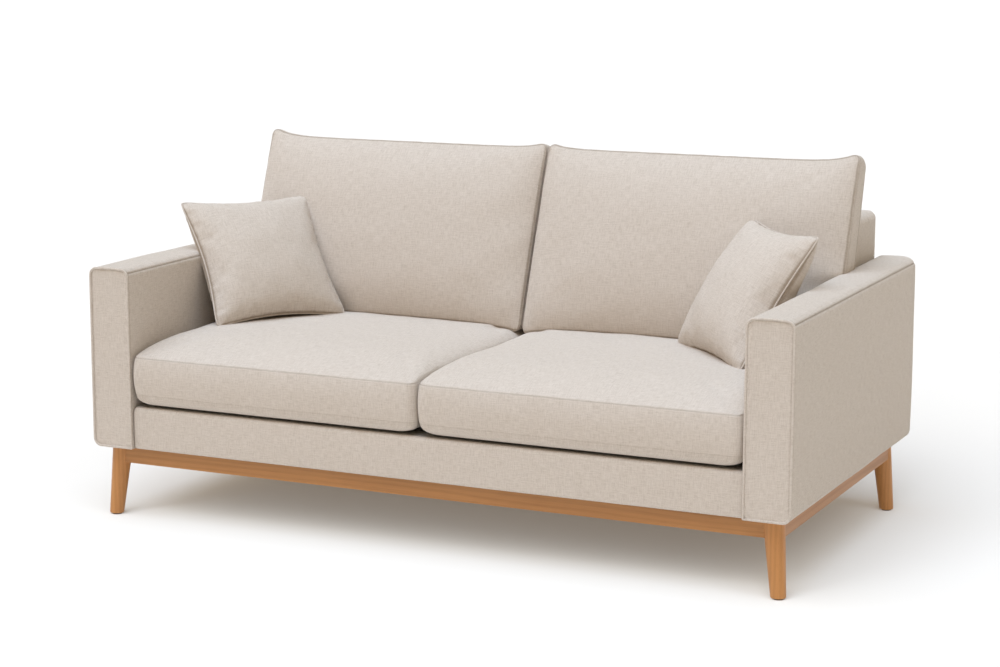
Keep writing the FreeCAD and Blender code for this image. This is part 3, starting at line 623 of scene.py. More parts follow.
def wear_group():
    """Small uneven marks: slow noise for handling and quick noise for grit, mixed into tone and height."""
    nodes, given, out = new_group("surface marks", Size=60.0, Amount=0.5)
    slow = nodes.noise(given["Place"], given["Size"], 3.0, 0.6)
    quick = nodes.noise(given["Place"], given["Size"] * 14.0, 2.0, 0.6)
    tone = nodes.ramp(slow * 0.6 + quick * 0.4, 0.35, 0.65) * given["Amount"]
    return put_out(nodes, out, nodes.mix(tone, given["Light"], given["Deep"]), quick, tone * 0.3 + 0.55)


def rgba(value):
    """A colour with full opacity."""
    return (value[0], value[1], value[2], 1.0)


def finish(name, group, values, bump, depth, place, **shader):
    """A material: a shared group feeds colour, roughness and bump of one Principled shader."""
    material = bpy.data.materials.new(name)
    material.use_nodes = True
    tree = material.node_tree
    tree.nodes.clear()
    nodes = Nodes(tree)
    output = tree.nodes.new("ShaderNodeOutputMaterial")
    principled = tree.nodes.new("ShaderNodeBsdfPrincipled")
    effect = tree.nodes.new("ShaderNodeGroup")
    effect.node_tree = group
    if place == "uv":
        vector = nodes.add("ShaderNodeUVMap", uv_map="cloth")
    else:
        vector = nodes.stretch(nodes.add("ShaderNodeTexCoord", output="Object"), (1, 1, 1), rotation=place)
    nodes.give(effect.inputs["Place"], vector)
    for key, value in values.items():
        nodes.give(effect.inputs[key], value)
    # painted shade along the seams: the seam attribute feeds the group's Seam input
    if "Seam" in effect.inputs:
        seam_shade = nodes.add("ShaderNodeAttribute", output="Fac", attribute_name="seam")
        nodes.give(effect.inputs["Seam"], seam_shade)
    nodes.give(principled.inputs["Base Color"], effect.outputs["Colour"])
    nodes.give(principled.inputs["Roughness"], effect.outputs["Roughness"])
    relief = nodes.add(
        "ShaderNodeBump", {"Strength": bump, "Distance": depth, "Height": effect.outputs["Height"]}
    )
    nodes.give(principled.inputs["Normal"], relief)
    for key, value in shader.items():
        principled.inputs[key.replace("_", " ")].default_value = value
    nodes.give(output.inputs["Surface"], principled.outputs[0])
    return material


ALONG_Z = (0.0, 0.0, 0.0)
ALONG_X = (0.0, math.pi / 2, 0.0)
ALONG_Y = (math.pi / 2, 0.0, 0.0)
finishes = {}


def make_finishes(scene):
    """All materials, by name."""
    cloth, timber = scene.sofa_cloth, scene.sofa_timber
    weave, grain, marks = weave_group(), grain_group(), wear_group()
    linen = {
        "Thread": cloth.thread, "Light": rgba(cloth.linen), "Deep": rgba(cloth.linen_deep),
        "Slub": cloth.slub, "Mottle": cloth.mottle,
    }
    soft = {"Sheen_Weight": 0.12, "Sheen_Roughness": 0.5, "Specular_IOR_Level": 0.18}
    finishes["linen"] = finish("linen", weave, linen, 0.8, cloth.relief, "uv", **soft)
    # painted shade: the oak running along x and y, the base rails under the seat border's overhang, is darkened
    # to 0.84 of the legs' tone
    for label, way, tone in (("x", ALONG_X, 0.84), ("y", ALONG_Y, 0.84), ("z", ALONG_Z, 1.0)):
        light, deep = (rgba([tone * c for c in wood]) for wood in (timber.oak, timber.oak_deep))
        oak = {"Ring": timber.ring, "Light": light, "Deep": deep, "Pores": 0.6}
        finishes["oak_" + label] = finish(
            "oak along " + label, grain, oak, 0.35, 0.0003, way, Coat_Weight=0.12, Coat_Roughness=0.35
        )
        plain = {"Ring": 0.011, "Light": rgba(timber.softwood), "Deep": (0.42, 0.24, 0.11, 1), "Pores": 0.1}
        finishes["softwood_" + label] = finish("softwood along " + label, grain, plain, 0.3, 0.0003, way)
    ply = {"Ring": 0.021, "Light": rgba(timber.plywood), "Deep": (0.36, 0.22, 0.12, 1), "Pores": 0.25}
    finishes["plywood"] = finish("plywood", grain, ply, 0.3, 0.0003, ALONG_Z)
    lining = {
        "Thread": 0.0012, "Light": rgba(cloth.lining), "Deep": (0.018, 0.017, 0.016, 1), "Slub": 0.2,
        "Mottle": 0.3,
    }
    finishes["lining_cloth"] = finish("lining cloth", weave, lining, 0.6, 0.0002, ALONG_Z)
    webbing = {
        "Thread": 0.003, "Light": (0.16, 0.13, 0.10, 1), "Deep": (0.05, 0.04, 0.03, 1), "Slub": 0.3,
        "Mottle": 0.3,
    }
    finishes["webbing"] = finish("elastic webbing", weave, webbing, 0.8, 0.0006, ALONG_Z)
    rough = {
        "fibreboard": (90.0, (0.33, 0.22, 0.13), (0.20, 0.13, 0.07), 0.8, 0.0),
        "foam": (160.0, (0.78, 0.72, 0.52), (0.62, 0.54, 0.36), 0.6, 0.0),
        "fibre_fill": (40.0, (0.86, 0.86, 0.84), (0.68, 0.68, 0.66), 0.6, 0.0),
        "felt": (120.0, (0.42, 0.40, 0.37), (0.24, 0.23, 0.21), 0.9, 0.0),
        "steel": (70.0, (0.42, 0.42, 0.43), (0.22, 0.20, 0.18), 0.6, 1.0),
        "nylon": (80.0, (0.10, 0.085, 0.07), (0.05, 0.04, 0.035), 0.6, 0.0),
    }
    for name, (size, light, deep, amount, metal) in rough.items():
        values = {"Size": size, "Light": rgba(light), "Deep": rgba(deep), "Amount": amount}
        finishes[name] = finish(name.replace("_", " "), marks, values, 0.4, 0.0004, ALONG_Z, Metallic=metal)


def longest_way(node):
    """The axis along which a CAD node is longest: x, y or z."""
    low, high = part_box(node)
    return "xyz"[int(np.argmax(np.array(high) - np.array(low)))]


def dress_frame():
    """Gives each carried-over CAD node the finish of its slot, grain along its length."""
    slots = {part["node"]: part["material_slot"] for part in frame["record"]["subparts"]}
    for node, obj in frame["nodes"].items():
        slot = slots[node]
        name = slot
        if slot in ("oak", "softwood"):
            name = slot + "_" + longest_way(node)
        chosen = finishes.get(name, finishes["linen"])
        if not obj.material_slots:
            obj.data.materials.append(chosen)
        for place in obj.material_slots:
            place.material = chosen


# ---------------------------------------------------------------- pieces


def box(node):
    """A CAD node's low and high corners as arrays."""
    low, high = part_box(node)
    return np.array(low), np.array(high)


def arm_skin(low, high, side, arms):
    """An arm's cover: rounded rectangles in width and height, carried from front to rear. The rear outer corner
    follows a quarter circle, so near the rear the outer side stands in by radius less the circle's height. The
    top rises by the crown times a sine across, and the sides swell by a product of sines."""
    rear = arms.rear_round
    front_round = 2.2 * MM
    front_turn = np.sin(np.linspace(0, np.pi / 2, 5))
    turn = np.linspace(0, np.pi / 2, 15)
    body = steps(low[1] + front_round + 0.0013, high[1] - rear - 0.002, 0.012, (low[1] + 0.005,))
    y = np.concatenate([low[1] + front_round * front_turn, body, high[1] - rear + rear * np.sin(turn)])
    outer_in = np.zeros(len(y))
    outer_in[-len(turn):] = rear * (1 - np.cos(turn))
    tail = np.clip((y - (high[1] - 0.008)) / 0.008, 0, 1)
    small = 0.006 * (1 - np.sqrt(1 - tail ** 2))
    small[:5] = front_round * (1 - front_turn)
    inner_x, outer_x = (low[0], high[0]) if side > 0 else (high[0], low[0])
    x_in = inner_x + side * small
    x_out = outer_x - side * np.maximum(outer_in, small)
    top = np.maximum(arms.top_round - 0.5 * small, 1 * MM)
    outer_bottom = np.maximum(arms.bottom_round - small, 1 * MM)
    inner_bottom = np.full(len(y), 2 * MM)
    # rings run in height then width, so that they turn anticlockwise about the run from front to rear
    radii = [inner_bottom, top, top, outer_bottom][::side]
    arc = 6
    tall = fractions(high[2] - low[2], 0.011, 0.25)
    wide = fractions(0.08, 0.006, 0.2)
    flat = rounded_rings(
        np.stack([low[2] + small, np.minimum(x_in, x_out)], 1),
        np.stack([high[2] - small, np.maximum(x_in, x_out)], 1), np.stack(radii, 1), arc, tall, wide,
    )
    return stack(flat, y, (1, 2, 0), arc, tall, wide)


def swell_arm(skin, low, high, side, arms):
    """Adds crown, swell and slow unevenness to an arm's skin."""
    p = skin.points
    u = np.clip((p[:, 0] - low[0]) / (high[0] - low[0]), 0, 1)
    w = np.clip((p[:, 2] - low[2]) / (high[2] - low[2]), 0, 1)
    v = np.clip((p[:, 1] - low[1]) / (high[1] - low[1]), 0, 1)
    top = np.clip((w - 0.93) / 0.05, 0, 1)
    fade = np.clip(np.minimum(v, 1 - v) / 0.03, 0, 1)
    p[:, 2] += arms.crown * np.sin(np.pi * u) * top + arms.rise * v * w ** 2
    out = skin.outward()
    sideways = np.abs(out[:, 0]) * np.sin(np.pi * np.clip(w, 0.0, 1.0)) ** 0.5 * fade
    out_side = np.where(out[:, 0] * side > 0, 1.0, 0.25)
    lumps = 0.5 * MM * wander(31, p, 0.23) * fade
    height = arms.side_fill * sideways * out_side + lumps
    skin.points = p + out * height[:, None]


class SOFA_OT_arms(bpy.types.Operator):
    """Box arms with a top strip, long seams and piping round the front panel"""

    bl_idname = "sofa.arms"
    bl_label = "Arms"

    def execute(self, context):
        arms = context.scene.sofa_arms
        for side_name, side in SIDES.items():
            low, high = box("arm_cover_" + side_name)
            skin = arm_skin(low, high, side, arms)
            swell_arm(skin, low, high, side, arms)
            a, b = skin.sides
            # the top strip lies on the second side; its seams are where the top edges' arcs begin and end
            ring = skin.points[skin.wall[len(skin.wall) // 2]]
            around = running(np.vstack([ring, ring[:1]]))
            # each top seam's groove also gets painted shade; the last number given to sew is how dark
            for column in (a - 2, a + b + 2):
                away = np.abs(around[:-1] - around[column])
                skin.sew(skin.wall, np.minimum(away, around[-1] - away), 1.9 * MM, 1.9 * MM, 0.9)
            grid, across, up = skin.first
            near = np.minimum.reduce(edge_distance(across, up))
            # painted shade in the groove inside the piping and along the line behind the front panel
            skin.sew(grid, near - 4.0 * MM, 0.5 * MM, 1.5 * MM, 0.35)
            behind = skin.points[skin.wall][..., 1] - low[1]
            skin.sew(skin.wall, behind - 4.2 * MM, 0.8 * MM, 1.5 * MM, 0.5)
            skin.pull()
            build("arm_cover_linen_" + side_name, skin, "sofa_frame", ["arm_cover_" + side_name])
            self.welt(side_name, side, low, high, arms)
        return {"FINISHED"}

    @staticmethod
    def welt(side_name, side, low, high, arms):
        """Piping round the front panel: a cord along the panel's outline, from the foot of the inner side, over
        the top and round the bottom outer corner."""
        radius = arms.welt
        inset = 1.5 * MM
        corner = [2 * MM, arms.top_round, arms.top_round, arms.bottom_round][::side]
        flat = rounded_rings(
            [[low[2] + radius, low[0] + inset]], [[high[2] - inset - 0.5 * MM, high[0] - inset]],
            [[max(c - inset, 1 * MM) for c in corner]], 8, fractions(0.4, 0.012), fractions(0.08, 0.012),
        )[0]
        wide_part = np.clip((flat[:, 0] - (high[2] - 0.02)) / 0.015, 0, 1)
        u = (flat[:, 1] - low[0]) / (high[0] - low[0])
        flat[:, 0] += np.sin(np.pi * u) * arms.crown * wide_part
        path = np.stack([flat[:, 1], np.full(len(flat), low[1] - 0.2 * MM), flat[:, 0]], 1)
        build("arm_welt_linen_" + side_name, Cord(path, radius, 12), "sofa_frame", ["arm_welt_" + side_name])


class SOFA_OT_border(bpy.types.Operator):
    """Padded front border below the seat cushions"""

    bl_idname = "sofa.border"
    bl_label = "Seat border"

    def execute(self, context):
        low, high = box("seat_border")
        edge = 9 * MM
        turn = np.linspace(0, np.pi / 2, 8)
        y_rear = high[1] - np.array([0, 0.002, 0.004])
        y = np.concatenate([y_rear, [-0.45, -0.465], low[1] + edge - edge * np.sin(turn)])
        inset = np.concatenate([[0.004, 0.001, 0, 0, 0], edge * (1 - np.cos(turn))])
        rad = np.maximum(edge - 0.6 * inset, 2 * MM)
        low_corner = np.stack([low[0] + 0.5 * inset, low[2] + 0.6 * inset], 1)
        high_corner = np.stack([high[0] - 0.5 * inset, high[2] - 6 * MM - inset], 1)
        arc = 4
        wide, tall = fractions(1.56, 0.012, 0.1), fractions(0.1, 0.006, 0.2)
        radii = np.stack([rad * 0.6, rad * 0.6, rad, rad], 1)
        flat = rounded_rings(low_corner, high_corner, radii, arc, wide, tall)
        skin = stack(flat, y, (0, 2, 1), arc, wide, tall)
        p = skin.points
        w = np.clip((p[:, 2] - low[2]) / (high[2] - low[2]), 0, 1)
        front = np.clip((-0.470 - p[:, 1]) / 0.01, 0, 1)
        p[:, 1] -= front * (2.5 * MM * np.sin(np.pi * w) + 0.5 * MM * wander(5, p[:, ::2], 0.16))
        build("seat_border_linen", skin, "sofa_frame", ["seat_border"])
        return {"FINISHED"}


class SOFA_OT_back_frame(bpy.types.Operator):
    """Upholstered back behind the cushions, with its outside panel"""

    bl_idname = "sofa.back_frame"
    bl_label = "Back frame cover"

    def execute(self, context):
        low, high = box("back_cover")
        knee = 0.440
        foot = box("seat_deck_cloth")[1][2] + 1 * MM
        lean = (0.296 - 0.185) / (high[2] - knee)
        top_round, end_round = 12 * MM, 20 * MM
        # rings in depth and height, stacked across the sofa; the front leans, so depth is sheared by height
        turn = np.linspace(0, np.pi / 2, 7)
        reach = end_round * np.sin(turn)
        x_end = high[0] - end_round + reach
        inset = end_round * (1 - np.cos(turn))
        middle = steps(low[0] + end_round + 0.004, high[0] - end_round - 0.004, 0.02)
        x = np.concatenate([-x_end[::-1], middle, x_end])
        away = np.concatenate([inset[::-1], 0 * middle, inset])
        rear = high[1] - 13 * MM
        rad = np.maximum(top_round - 0.4 * away, 3 * MM)
        foot_round = np.full(len(x), 3 * MM)
        arc = 5
        deep, tall = fractions(0.28, 0.012, 0.1), fractions(0.45, 0.012, 0.1)
        flat = rounded_rings(
            np.stack([low[1] + 0.3 * away, np.full(len(x), foot)], 1),
            np.stack([rear - 0.2 * away, high[2] - away], 1),
            np.stack([foot_round, foot_round, rad, rad * 1.3], 1), arc, deep, tall,
        )
        front_share = np.clip((rear - flat[..., 0]) / (rear - low[1]), 0, 1)
        flat[..., 0] += np.maximum(flat[..., 1] - knee, 0) * lean * front_share
        block = stack(flat, x, (2, 0, 1), arc, deep, tall)
        block.pull(0.6 * MM * wander(77, block.points, 0.2))
        # outside panel: rings across and up, stacked from the inside to the rear
        edge = 11 * MM
        bend = np.linspace(0, np.pi / 2, 7)
        y = np.concatenate([[rear - 0.004, rear], high[1] - edge + edge * np.sin(bend)])
        inset = np.concatenate([[0.004, 0.0], edge * (1 - np.cos(bend))])
        round_ = np.maximum(end_round - inset, 4 * MM)
        wide, up = fractions(1.5, 0.014, 0.1), fractions(0.5, 0.014, 0.1)
        flat = rounded_rings(
            np.stack([low[2] + 0.3 * inset, low[0] + 0.3 * inset], 1),
            np.stack([high[2] - inset, high[0] - 0.3 * inset], 1),
            np.stack([0.3 * round_, round_, round_, 0.3 * round_], 1), arc, up, wide,
        )
        panel = stack(flat, y, (1, 2, 0), arc, up, wide)
        grid, across, upward = panel.last
        near = np.minimum.reduce(edge_distance(across, upward))
        # painted shade along the outside panel's seam groove, at full strength
        panel.sew(grid, near - 2 * MM, 1.2 * MM, 2.2 * MM)
        swell = np.zeros(len(panel.points))
        swell[grid.ravel()] = (2.5 * MM * (1 - np.exp(-near / 0.05))).ravel()
        lumps = 0.5 * MM * wander(78, panel.points, 0.2)
        keep = np.clip((panel.points[:, 1] - rear) / 0.008, 0, 1)
        panel.press *= keep
        panel.pull((swell - 2.5 * MM + lumps) * keep)
        build("back_cover_linen", block, "sofa_frame", ["back_cover"])
        build("outside_back_linen", panel, "sofa_frame", ["back_cover"])
        return {"FINISHED"}


class SOFA_OT_seat_cushions(bpy.types.Operator):
    """Loose box cushions of the seat"""

    bl_idname = "sofa.seat_cushions"
    bl_label = "Seat cushions"

    def execute(self, context):
        seat = context.scene.sofa_seat
        for side_name, side in SIDES.items():
            low, high = box("seat_cushion_" + side_name)
            (high if side < 0 else low)[0] -= seat.shift
            seed = 11 + side
            z0, seam = low[2], low[2] + seat.seam_rise
            rb = seat.bottom_round
            turn = np.linspace(0, np.pi / 2, 7)
            z_round = z0 + rb * (1 - np.cos(turn))
            in_round = rb * (1 - np.sin(turn))
            stitches = (z0 + 0.0200, z0 + 0.0265)
            wall = steps(z0 + rb + 0.001, seam, 0.007, (*stitches, seam))
            z = np.concatenate([z_round, wall])
            share_up = np.clip((z - z0 - rb) / (seam - z0 - rb), 0, 1)
            inset = np.concatenate([in_round, 0 * wall])
            end_in = 1.6 * inset + 3.0 * MM * (1 - np.sin(np.pi * share_up) ** 0.7)
            swell = seat.swell * np.sin(np.pi * share_up) ** 0.8
            radii = np.full((len(z), 4), max(seat.corner, 4 * MM))
            arc = 6
            wide = fractions(high[0] - low[0], 0.0115, 0.3)
            deep = fractions(high[1] - low[1], 0.0115, 0.3)
            flat = rounded_rings(
                np.stack([low[0] + end_in, low[1] + inset - swell], 1),
                np.stack([high[0] - end_in, high[1] - inset], 1), radii, arc, wide, deep,
            )
            skin = stack(flat, z, (0, 1, 2), arc, wide, deep)
            grid, across, up = skin.last
            left, right, front, rear = edge_distance(across, up)
            rise = 1 - np.exp(-front / seat.roll)
            for end in (left, right, rear):
                rise = rise * quarter(end, seat.end_roll)
            middle = np.sin(np.pi * left / (left + right)) * np.sin(np.pi * front / (front + rear))
            skin.points[grid, 2] += seat.crown * rise + seat.middle * middle
            near = np.minimum.reduce([left, right, front, rear])
            drop = (seam - z)[:, None]
            # painted shade along both sides of the top seam's groove and, fainter, along the two stitch lines
            # near the bottom
            skin.sew(grid, near, 1.7 * MM, 1.6 * MM, 0.55)
            skin.sew(skin.wall, drop, 1.7 * MM, 1.6 * MM, 0.55)
            for place in stitches:
                skin.sew(skin.wall, (z - place)[:, None], 0.30 * MM, 1.4 * MM, 0.28)
            p = skin.points
            fade = np.exp(-seam_distance(skin, near, drop) / 0.013)
            pucker = 0.45 * MM * wander(seed, p[:, :2], 0.022) * fade
            soft = np.clip((p[:, 2] - z0) / 0.03, 0, 1)
            lumps = 0.9 * MM * wander(seed + 3, p, 0.15) * soft
            skin.pull(pucker + lumps)
            keep_clear(skin, low, high)
            rest_under(skin, side_name)
            piece = build(
                "seat_cushion_linen_" + side_name, skin, "seat_cushion_" + side_name,
                ["seat_cushion_" + side_name, "seat_foam_" + side_name],
            )
            held = np.maximum(skin.held > 0.75, p[:, 2] < z0 + 0.004).astype(float)
            skin.points = fill(piece, held, 5 * MM, 1.0)
            keep_clear(skin, low, high)
            rest_under(skin, side_name)
            set_points(piece, skin.points)
        return {"FINISHED"}


def keep_clear(skin, low, high, over=0.0, settle=0.0):
    """Holds a cushion off its neighbours: its ends stay inside the CAD solid's, but for what swells over the
    arm's top or settles into a hollow, and its underside stays flat."""
    p = skin.points
    p[:, 0] = np.clip(p[:, 0], low[0] - over * (low[0] < -0.5), high[0] + over * (high[0] > 0.5))
    p[:, 2] = np.maximum(p[:, 2], low[2] - settle)


def rest_under(skin, side_name):
    """Keeps the top of a seat cushion below the back cushion that rests on it: past the foot of the back
    cushion the height tends smoothly to its limit."""
    low, high = box("back_cushion_" + side_name)
    p = skin.points
    share_in = np.clip((p[:, 1] - (low[1] - 0.022)) / 0.05, 0, 1)
    limit = low[2] - 0.5 * MM
    over = np.maximum(p[:, 2] - (limit - 0.004), 0)
    lowered = np.where(over > 0, limit - 0.004 + 0.004 * np.tanh(over / 0.004), p[:, 2])
    p[:, 2] += (lowered - p[:, 2]) * share_in


EAR_REACH, SAG_REACH, SETTLED_REACH = 0.036, 0.07, 0.17


class SOFA_OT_back_cushions(bpy.types.Operator):
    """Loose back cushions with boxed sides, crowned faces and raised top corners"""

    bl_idname = "sofa.back_cushions"
    bl_label = "Back cushions"

    def execute(self, context):
        back = context.scene.sofa_back
        sin, cos = math.sin(back.lean), math.cos(back.lean)
        for side_name, side in SIDES.items():
            low, high = box("back_cushion_" + side_name)
            (high if side < 0 else low)[0] -= back.shift
            seed = 51 + side
            seat_rear = box("seat_cushion_" + side_name)[1][1]
            foot_y = seat_rear + back.foot
            # u across, v up the lean, c out of the rear plane towards the front
            # the highest point is the front top edge, so v follows from the height of the box
            tall_v = (high[2] - low[2] - back.band * sin) / cos - back.top
            rear_round = 10 * MM
            turn = np.linspace(0, np.pi / 2, 6)
            c_round = rear_round * (1 - np.cos(turn))
            in_round = rear_round * (1 - np.sin(turn))
            wall = steps(rear_round + 0.001, back.band, 0.007, (back.band, rear_round + 0.006))
            c = np.concatenate([c_round, wall])
            inset = np.concatenate([in_round, 0 * wall])
            share_out = np.clip((c - rear_round) / (back.band - rear_round), 0, 1)
            swell = 3.0 * MM * np.sin(np.pi * share_out)
            end_in = 2.4 * inset + 1.5 * MM * (1 - np.sin(np.pi * share_out) ** 0.6)
            arc = 8
            wide = fractions(high[0] - low[0], 0.0115, 0.3)
            tall = fractions(tall_v, 0.0115, 0.3)
            radii = np.tile(back.corner * np.array([0.8, 0.8, 1.0, 1.0]), (len(c), 1))
            flat = rounded_rings(
                np.stack([low[0] + end_in, inset - c * math.tan(back.lean)], 1),
                np.stack([high[0] - end_in, tall_v - inset + swell], 1), radii, arc, wide, tall,
            )
            skin = stack(flat, c, (0, 1, 2), arc, wide, tall)
            grid, across, up = skin.last
            left, right, bottom, top = edge_distance(across, up)
            rise = 1 - np.exp(-top / (0.8 * back.roll))
            for rim in (left, right, bottom):
                gentle = 1 - np.exp(-rim / back.roll)
                rise = rise * (back.fold * quarter(rim, back.roll) + (1 - back.fold) * gentle)
            middle = np.sin(np.pi * left / (left + right)) * np.sin(np.pi * bottom / (bottom + top))
            skin.points[grid, 2] += back.bulge * (0.82 * rise + 0.18 * middle)
            near = np.minimum.reduce([left, right, bottom, top])
            drop = (back.band - c)[:, None]
            # painted shade along both sides of the front seam and along the rear seam's groove
            skin.sew(grid, near - 2.5 * MM, 1.6 * MM, 1.5 * MM, 0.8)
            skin.sew(skin.wall, drop - 3.0 * MM, 1.6 * MM, 1.5 * MM, 0.8)
            skin.sew(skin.wall, (c - rear_round - 0.006)[:, None], 1.4 * MM, 1.8 * MM, 0.8)
            p = skin.points
            # the boxing narrows upwards: the rear comes forward by its share times the square of height
            rearward = np.maximum(back.band - p[:, 2], 0)
            p[:, 2] += back.taper * rearward * np.clip(p[:, 1] / tall_v, 0, 1) ** 2
            # ears: the top corners rise by the ear times e to the minus distance from the end over its reach
            end = np.minimum(p[:, 0] - low[0], high[0] - p[:, 0])
            high_up = np.clip(p[:, 1] / tall_v, 0, 1) ** 6
            outer = np.where(side * p[:, 0] > 0.4, 1.0, 0.60)
            p[:, 1] += back.ear * outer * np.exp(-end / EAR_REACH) * high_up
            # the bottom sags by the square of its nearness to the foot, less and less away from the gap
            low_down = np.clip(1 - (p[:, 1] + p[:, 2] * math.tan(back.lean)) / 0.06, 0, 1) ** 2
            p[:, 1] -= back.sag * np.exp(-np.abs(p[:, 0]) / SAG_REACH) * low_down
            fade = np.exp(-seam_distance(skin, near, drop) / 0.016)
            pucker = 0.3 * MM * wander(seed, p[:, :2], 0.026) * fade
            lumps = 1.3 * MM * wander(seed + 3, p, 0.17) * np.clip((p[:, 2] - back.band) / 0.02, 0, 1)
            skin.pull(pucker + lumps)
            skin.points = self.stand(skin.points, foot_y, low[2], sin, cos)
            spread = back.spread_left if side < 0 else back.spread_right
            self.swell_over(skin, side, spread)
            keep_clear(skin, low, high, spread, back.sag)
            piece = build(
                "back_cushion_linen_" + side_name, skin, "back_cushion_" + side_name,
                ["back_cushion_" + side_name, "back_fill_" + side_name],
            )
            flat_back = np.zeros(len(skin.points))
            flat_back[skin.first[0].ravel()] = 1.0
            held = np.maximum(skin.held > 0.75, flat_back)
            # the corner settled between the seats is in place already, so filling fades towards it
            corner_away = np.hypot(skin.points[:, 0], skin.points[:, 2] - low[2])
            settled = np.exp(-((corner_away / SETTLED_REACH) ** 4))[:, None]
            skin.points = skin.points * settled + fill(piece, held, 9 * MM, 2.0) * (1 - settled)
            keep_clear(skin, low, high, spread, back.sag)
            set_points(piece, skin.points)
        return {"FINISHED"}

    @staticmethod
    def swell_over(skin, side, spread):
        """Moves the outer end out above the arm: the spread times a smooth step in height and the square of the
        way to the end."""
        arm_top = box("arm_cover_left")[1][2]
        p = skin.points
        height = np.clip((p[:, 2] - arm_top + 0.020) / 0.026, 0, 1)
        height = height * height * (3 - 2 * height)
        outward = np.clip((side * p[:, 0] - 0.45) / 0.33, 0, 1) ** 2
        p[:, 0] += side * spread * height * outward

    @staticmethod
    def stand(p, foot_y, foot_z, sin, cos):
        """Turns the cushion's own across, up and out into the sofa's places: up leans back by the angle."""
        y = foot_y + p[:, 1] * sin - p[:, 2] * cos
        z = foot_z + p[:, 1] * cos + p[:, 2] * sin
        return np.stack([p[:, 0], y, z], 1)


def pillow_skin(pillows, seed):
    """A throw pillow: a square outline whose sides are drawn in by a sine between the corners. Each face stands
    out by half the thickness times (1 - s^2.1)(1 - r^2.1) to the power 0.54. Near the seam each face swells
    sideways past it, the rear one most. Short folds run in from the seam, deepest near the corners."""
    n = 56
    t = np.sin(np.linspace(-1, 1, n + 1) * np.pi / 2 * 0.94) / math.sin(np.pi / 2 * 0.94)
    half = pillows.side / 2
    s, r = np.meshgrid(t, t, indexing="ij")
    pull_x = 1 - (pillows.draw / half) * np.cos(np.pi * r / 2)
    pull_z = 1 - (pillows.draw / half) * np.cos(np.pi * s / 2)
    clip = 1 - 0.030 * np.abs(s * r) ** 12
    x, z = half * s * pull_x * clip, half * r * pull_z * clip
    full = ((1 - np.abs(s) ** 2.1) * (1 - np.abs(r) ** 2.1)).clip(0, 1) ** 0.54
    dome = pillows.thickness / 2 * full
    edge = np.zeros((n + 1, n + 1), bool)
    edge[0] = edge[-1] = True
    edge[:, 0] = edge[:, -1] = True
    near = np.minimum(1 - np.abs(s), 1 - np.abs(r)) * half
    draw = np.stack([x, z], -1)
    beside, above = (1 - np.abs(s)) * half, (1 - np.abs(r)) * half
    folds = wander(seed + 5, z[..., None], 0.030) * np.exp(-beside / 0.026) * np.abs(r) ** 1.5
    folds += wander(seed + 6, x[..., None], 0.030) * np.exp(-above / 0.026) * np.abs(s) ** 1.5
    folds *= 1.5 * MM * np.clip(near / 0.006, 0, 1)
    soft = np.clip(near / 0.03, 0, 1)
    front = 1.6 * MM * wander(seed, draw, 0.12) * soft - dome + folds
    back = 1.2 * MM * wander(seed + 1, draw, 0.12) * soft + dome + folds
    bulge = (1 - np.exp(-near / 0.0012)) * np.exp(-near / 0.028)
    wide_s = np.sign(s) * (np.abs(s) > np.abs(r) * 0.999) * (1 - r ** 2)
    wide_r = np.sign(r) * (np.abs(r) > np.abs(s) * 0.999) * (1 - s ** 2)
    skin = Skin.__new__(Skin)
    count = (n + 1) ** 2
    grid_front = np.arange(count).reshape(n + 1, n + 1)
    grid_back = grid_front.copy()
    inner = ~edge
    grid_back[inner] = count + np.arange(inner.sum())
    ahead, behind = pillows.swell_front * bulge, pillows.swell_rear * bulge
    under = 1.8 * ahead
    front_points = np.stack([x + ahead * wide_s, front, z + under * wide_r], -1).reshape(-1, 3)
    back_points = np.stack([x + behind * wide_s, back, z + 0.25 * behind * wide_r], -1)[inner]
    skin.points = np.vstack([front_points, back_points])
    plan = np.stack([x, z], -1)
    # front: across then up faces the front; back: the other way round
    skin.faces = np.vstack([Skin.cells(grid_front.T), Skin.cells(grid_back.T)[:, ::-1]])
    chart = Skin.cells(plan.transpose(1, 0, 2))
    skin.maps = np.vstack([chart, chart[:, ::-1]])
    g = grid_front
    ring = np.concatenate([g[:-1, 0], g[-1, :-1], g[:0:-1, -1], g[0, :0:-1]])
    # painted shade along the seam, darkest on it; where it is full the points are also held while filling
    pillow_seam_shade = np.exp(-((near / (2.4 * MM)) ** 2))
    skin.seam = np.concatenate([pillow_seam_shade.ravel(), pillow_seam_shade[inner]])
    skin.held = (skin.seam > 0.99).astype(float)
    return skin, ring


class SOFA_OT_throw_pillows(bpy.types.Operator):
    """Two square throw pillows with a fine seam and drawn-in edges"""

    bl_idname = "sofa.throw_pillows"
    bl_label = "Throw pillows"

    def execute(self, context):
        pillows = context.scene.sofa_pillows
        rest = {
            "left": (pillows.turn_left, pillows.lean_left),
            "right": (pillows.turn_right, pillows.lean_right),
        }
        for side_name, side in SIDES.items():
            low, high = box("throw_pillow_" + side_name)
            turn, lean = rest[side_name]
            place = np.array(Matrix.Rotation(turn, 3, "Z") @ Matrix.Rotation(lean, 3, "X"))
            centre = (low + high) / 2
            skin, ring = pillow_skin(pillows, 90 + side)
            piece = build(
                "throw_pillow_linen_" + side_name, skin, "throw_pillow_" + side_name,
                ["throw_pillow_" + side_name, "pillow_fill_" + side_name],
            )
            skin.points = fill(piece, skin.held, 12 * MM, 5.0, -0.015)
            cord = Cord(skin.points[ring], pillows.cord, 8)
            set_points(piece, skin.points @ place.T + centre)
            cord.points = cord.points @ place.T + centre
            build("throw_pillow_seam_" + side_name, cord, "throw_pillow_" + side_name)
        return {"FINISHED"}


class SOFA_OT_finishes(bpy.types.Operator):
    """All finishes, and the finish of each part of the frame"""

    bl_idname = "sofa.finishes"
    bl_label = "Finishes"

    def execute(self, context):
        make_finishes(context.scene)
        dress_frame()
        return {"FINISHED"}


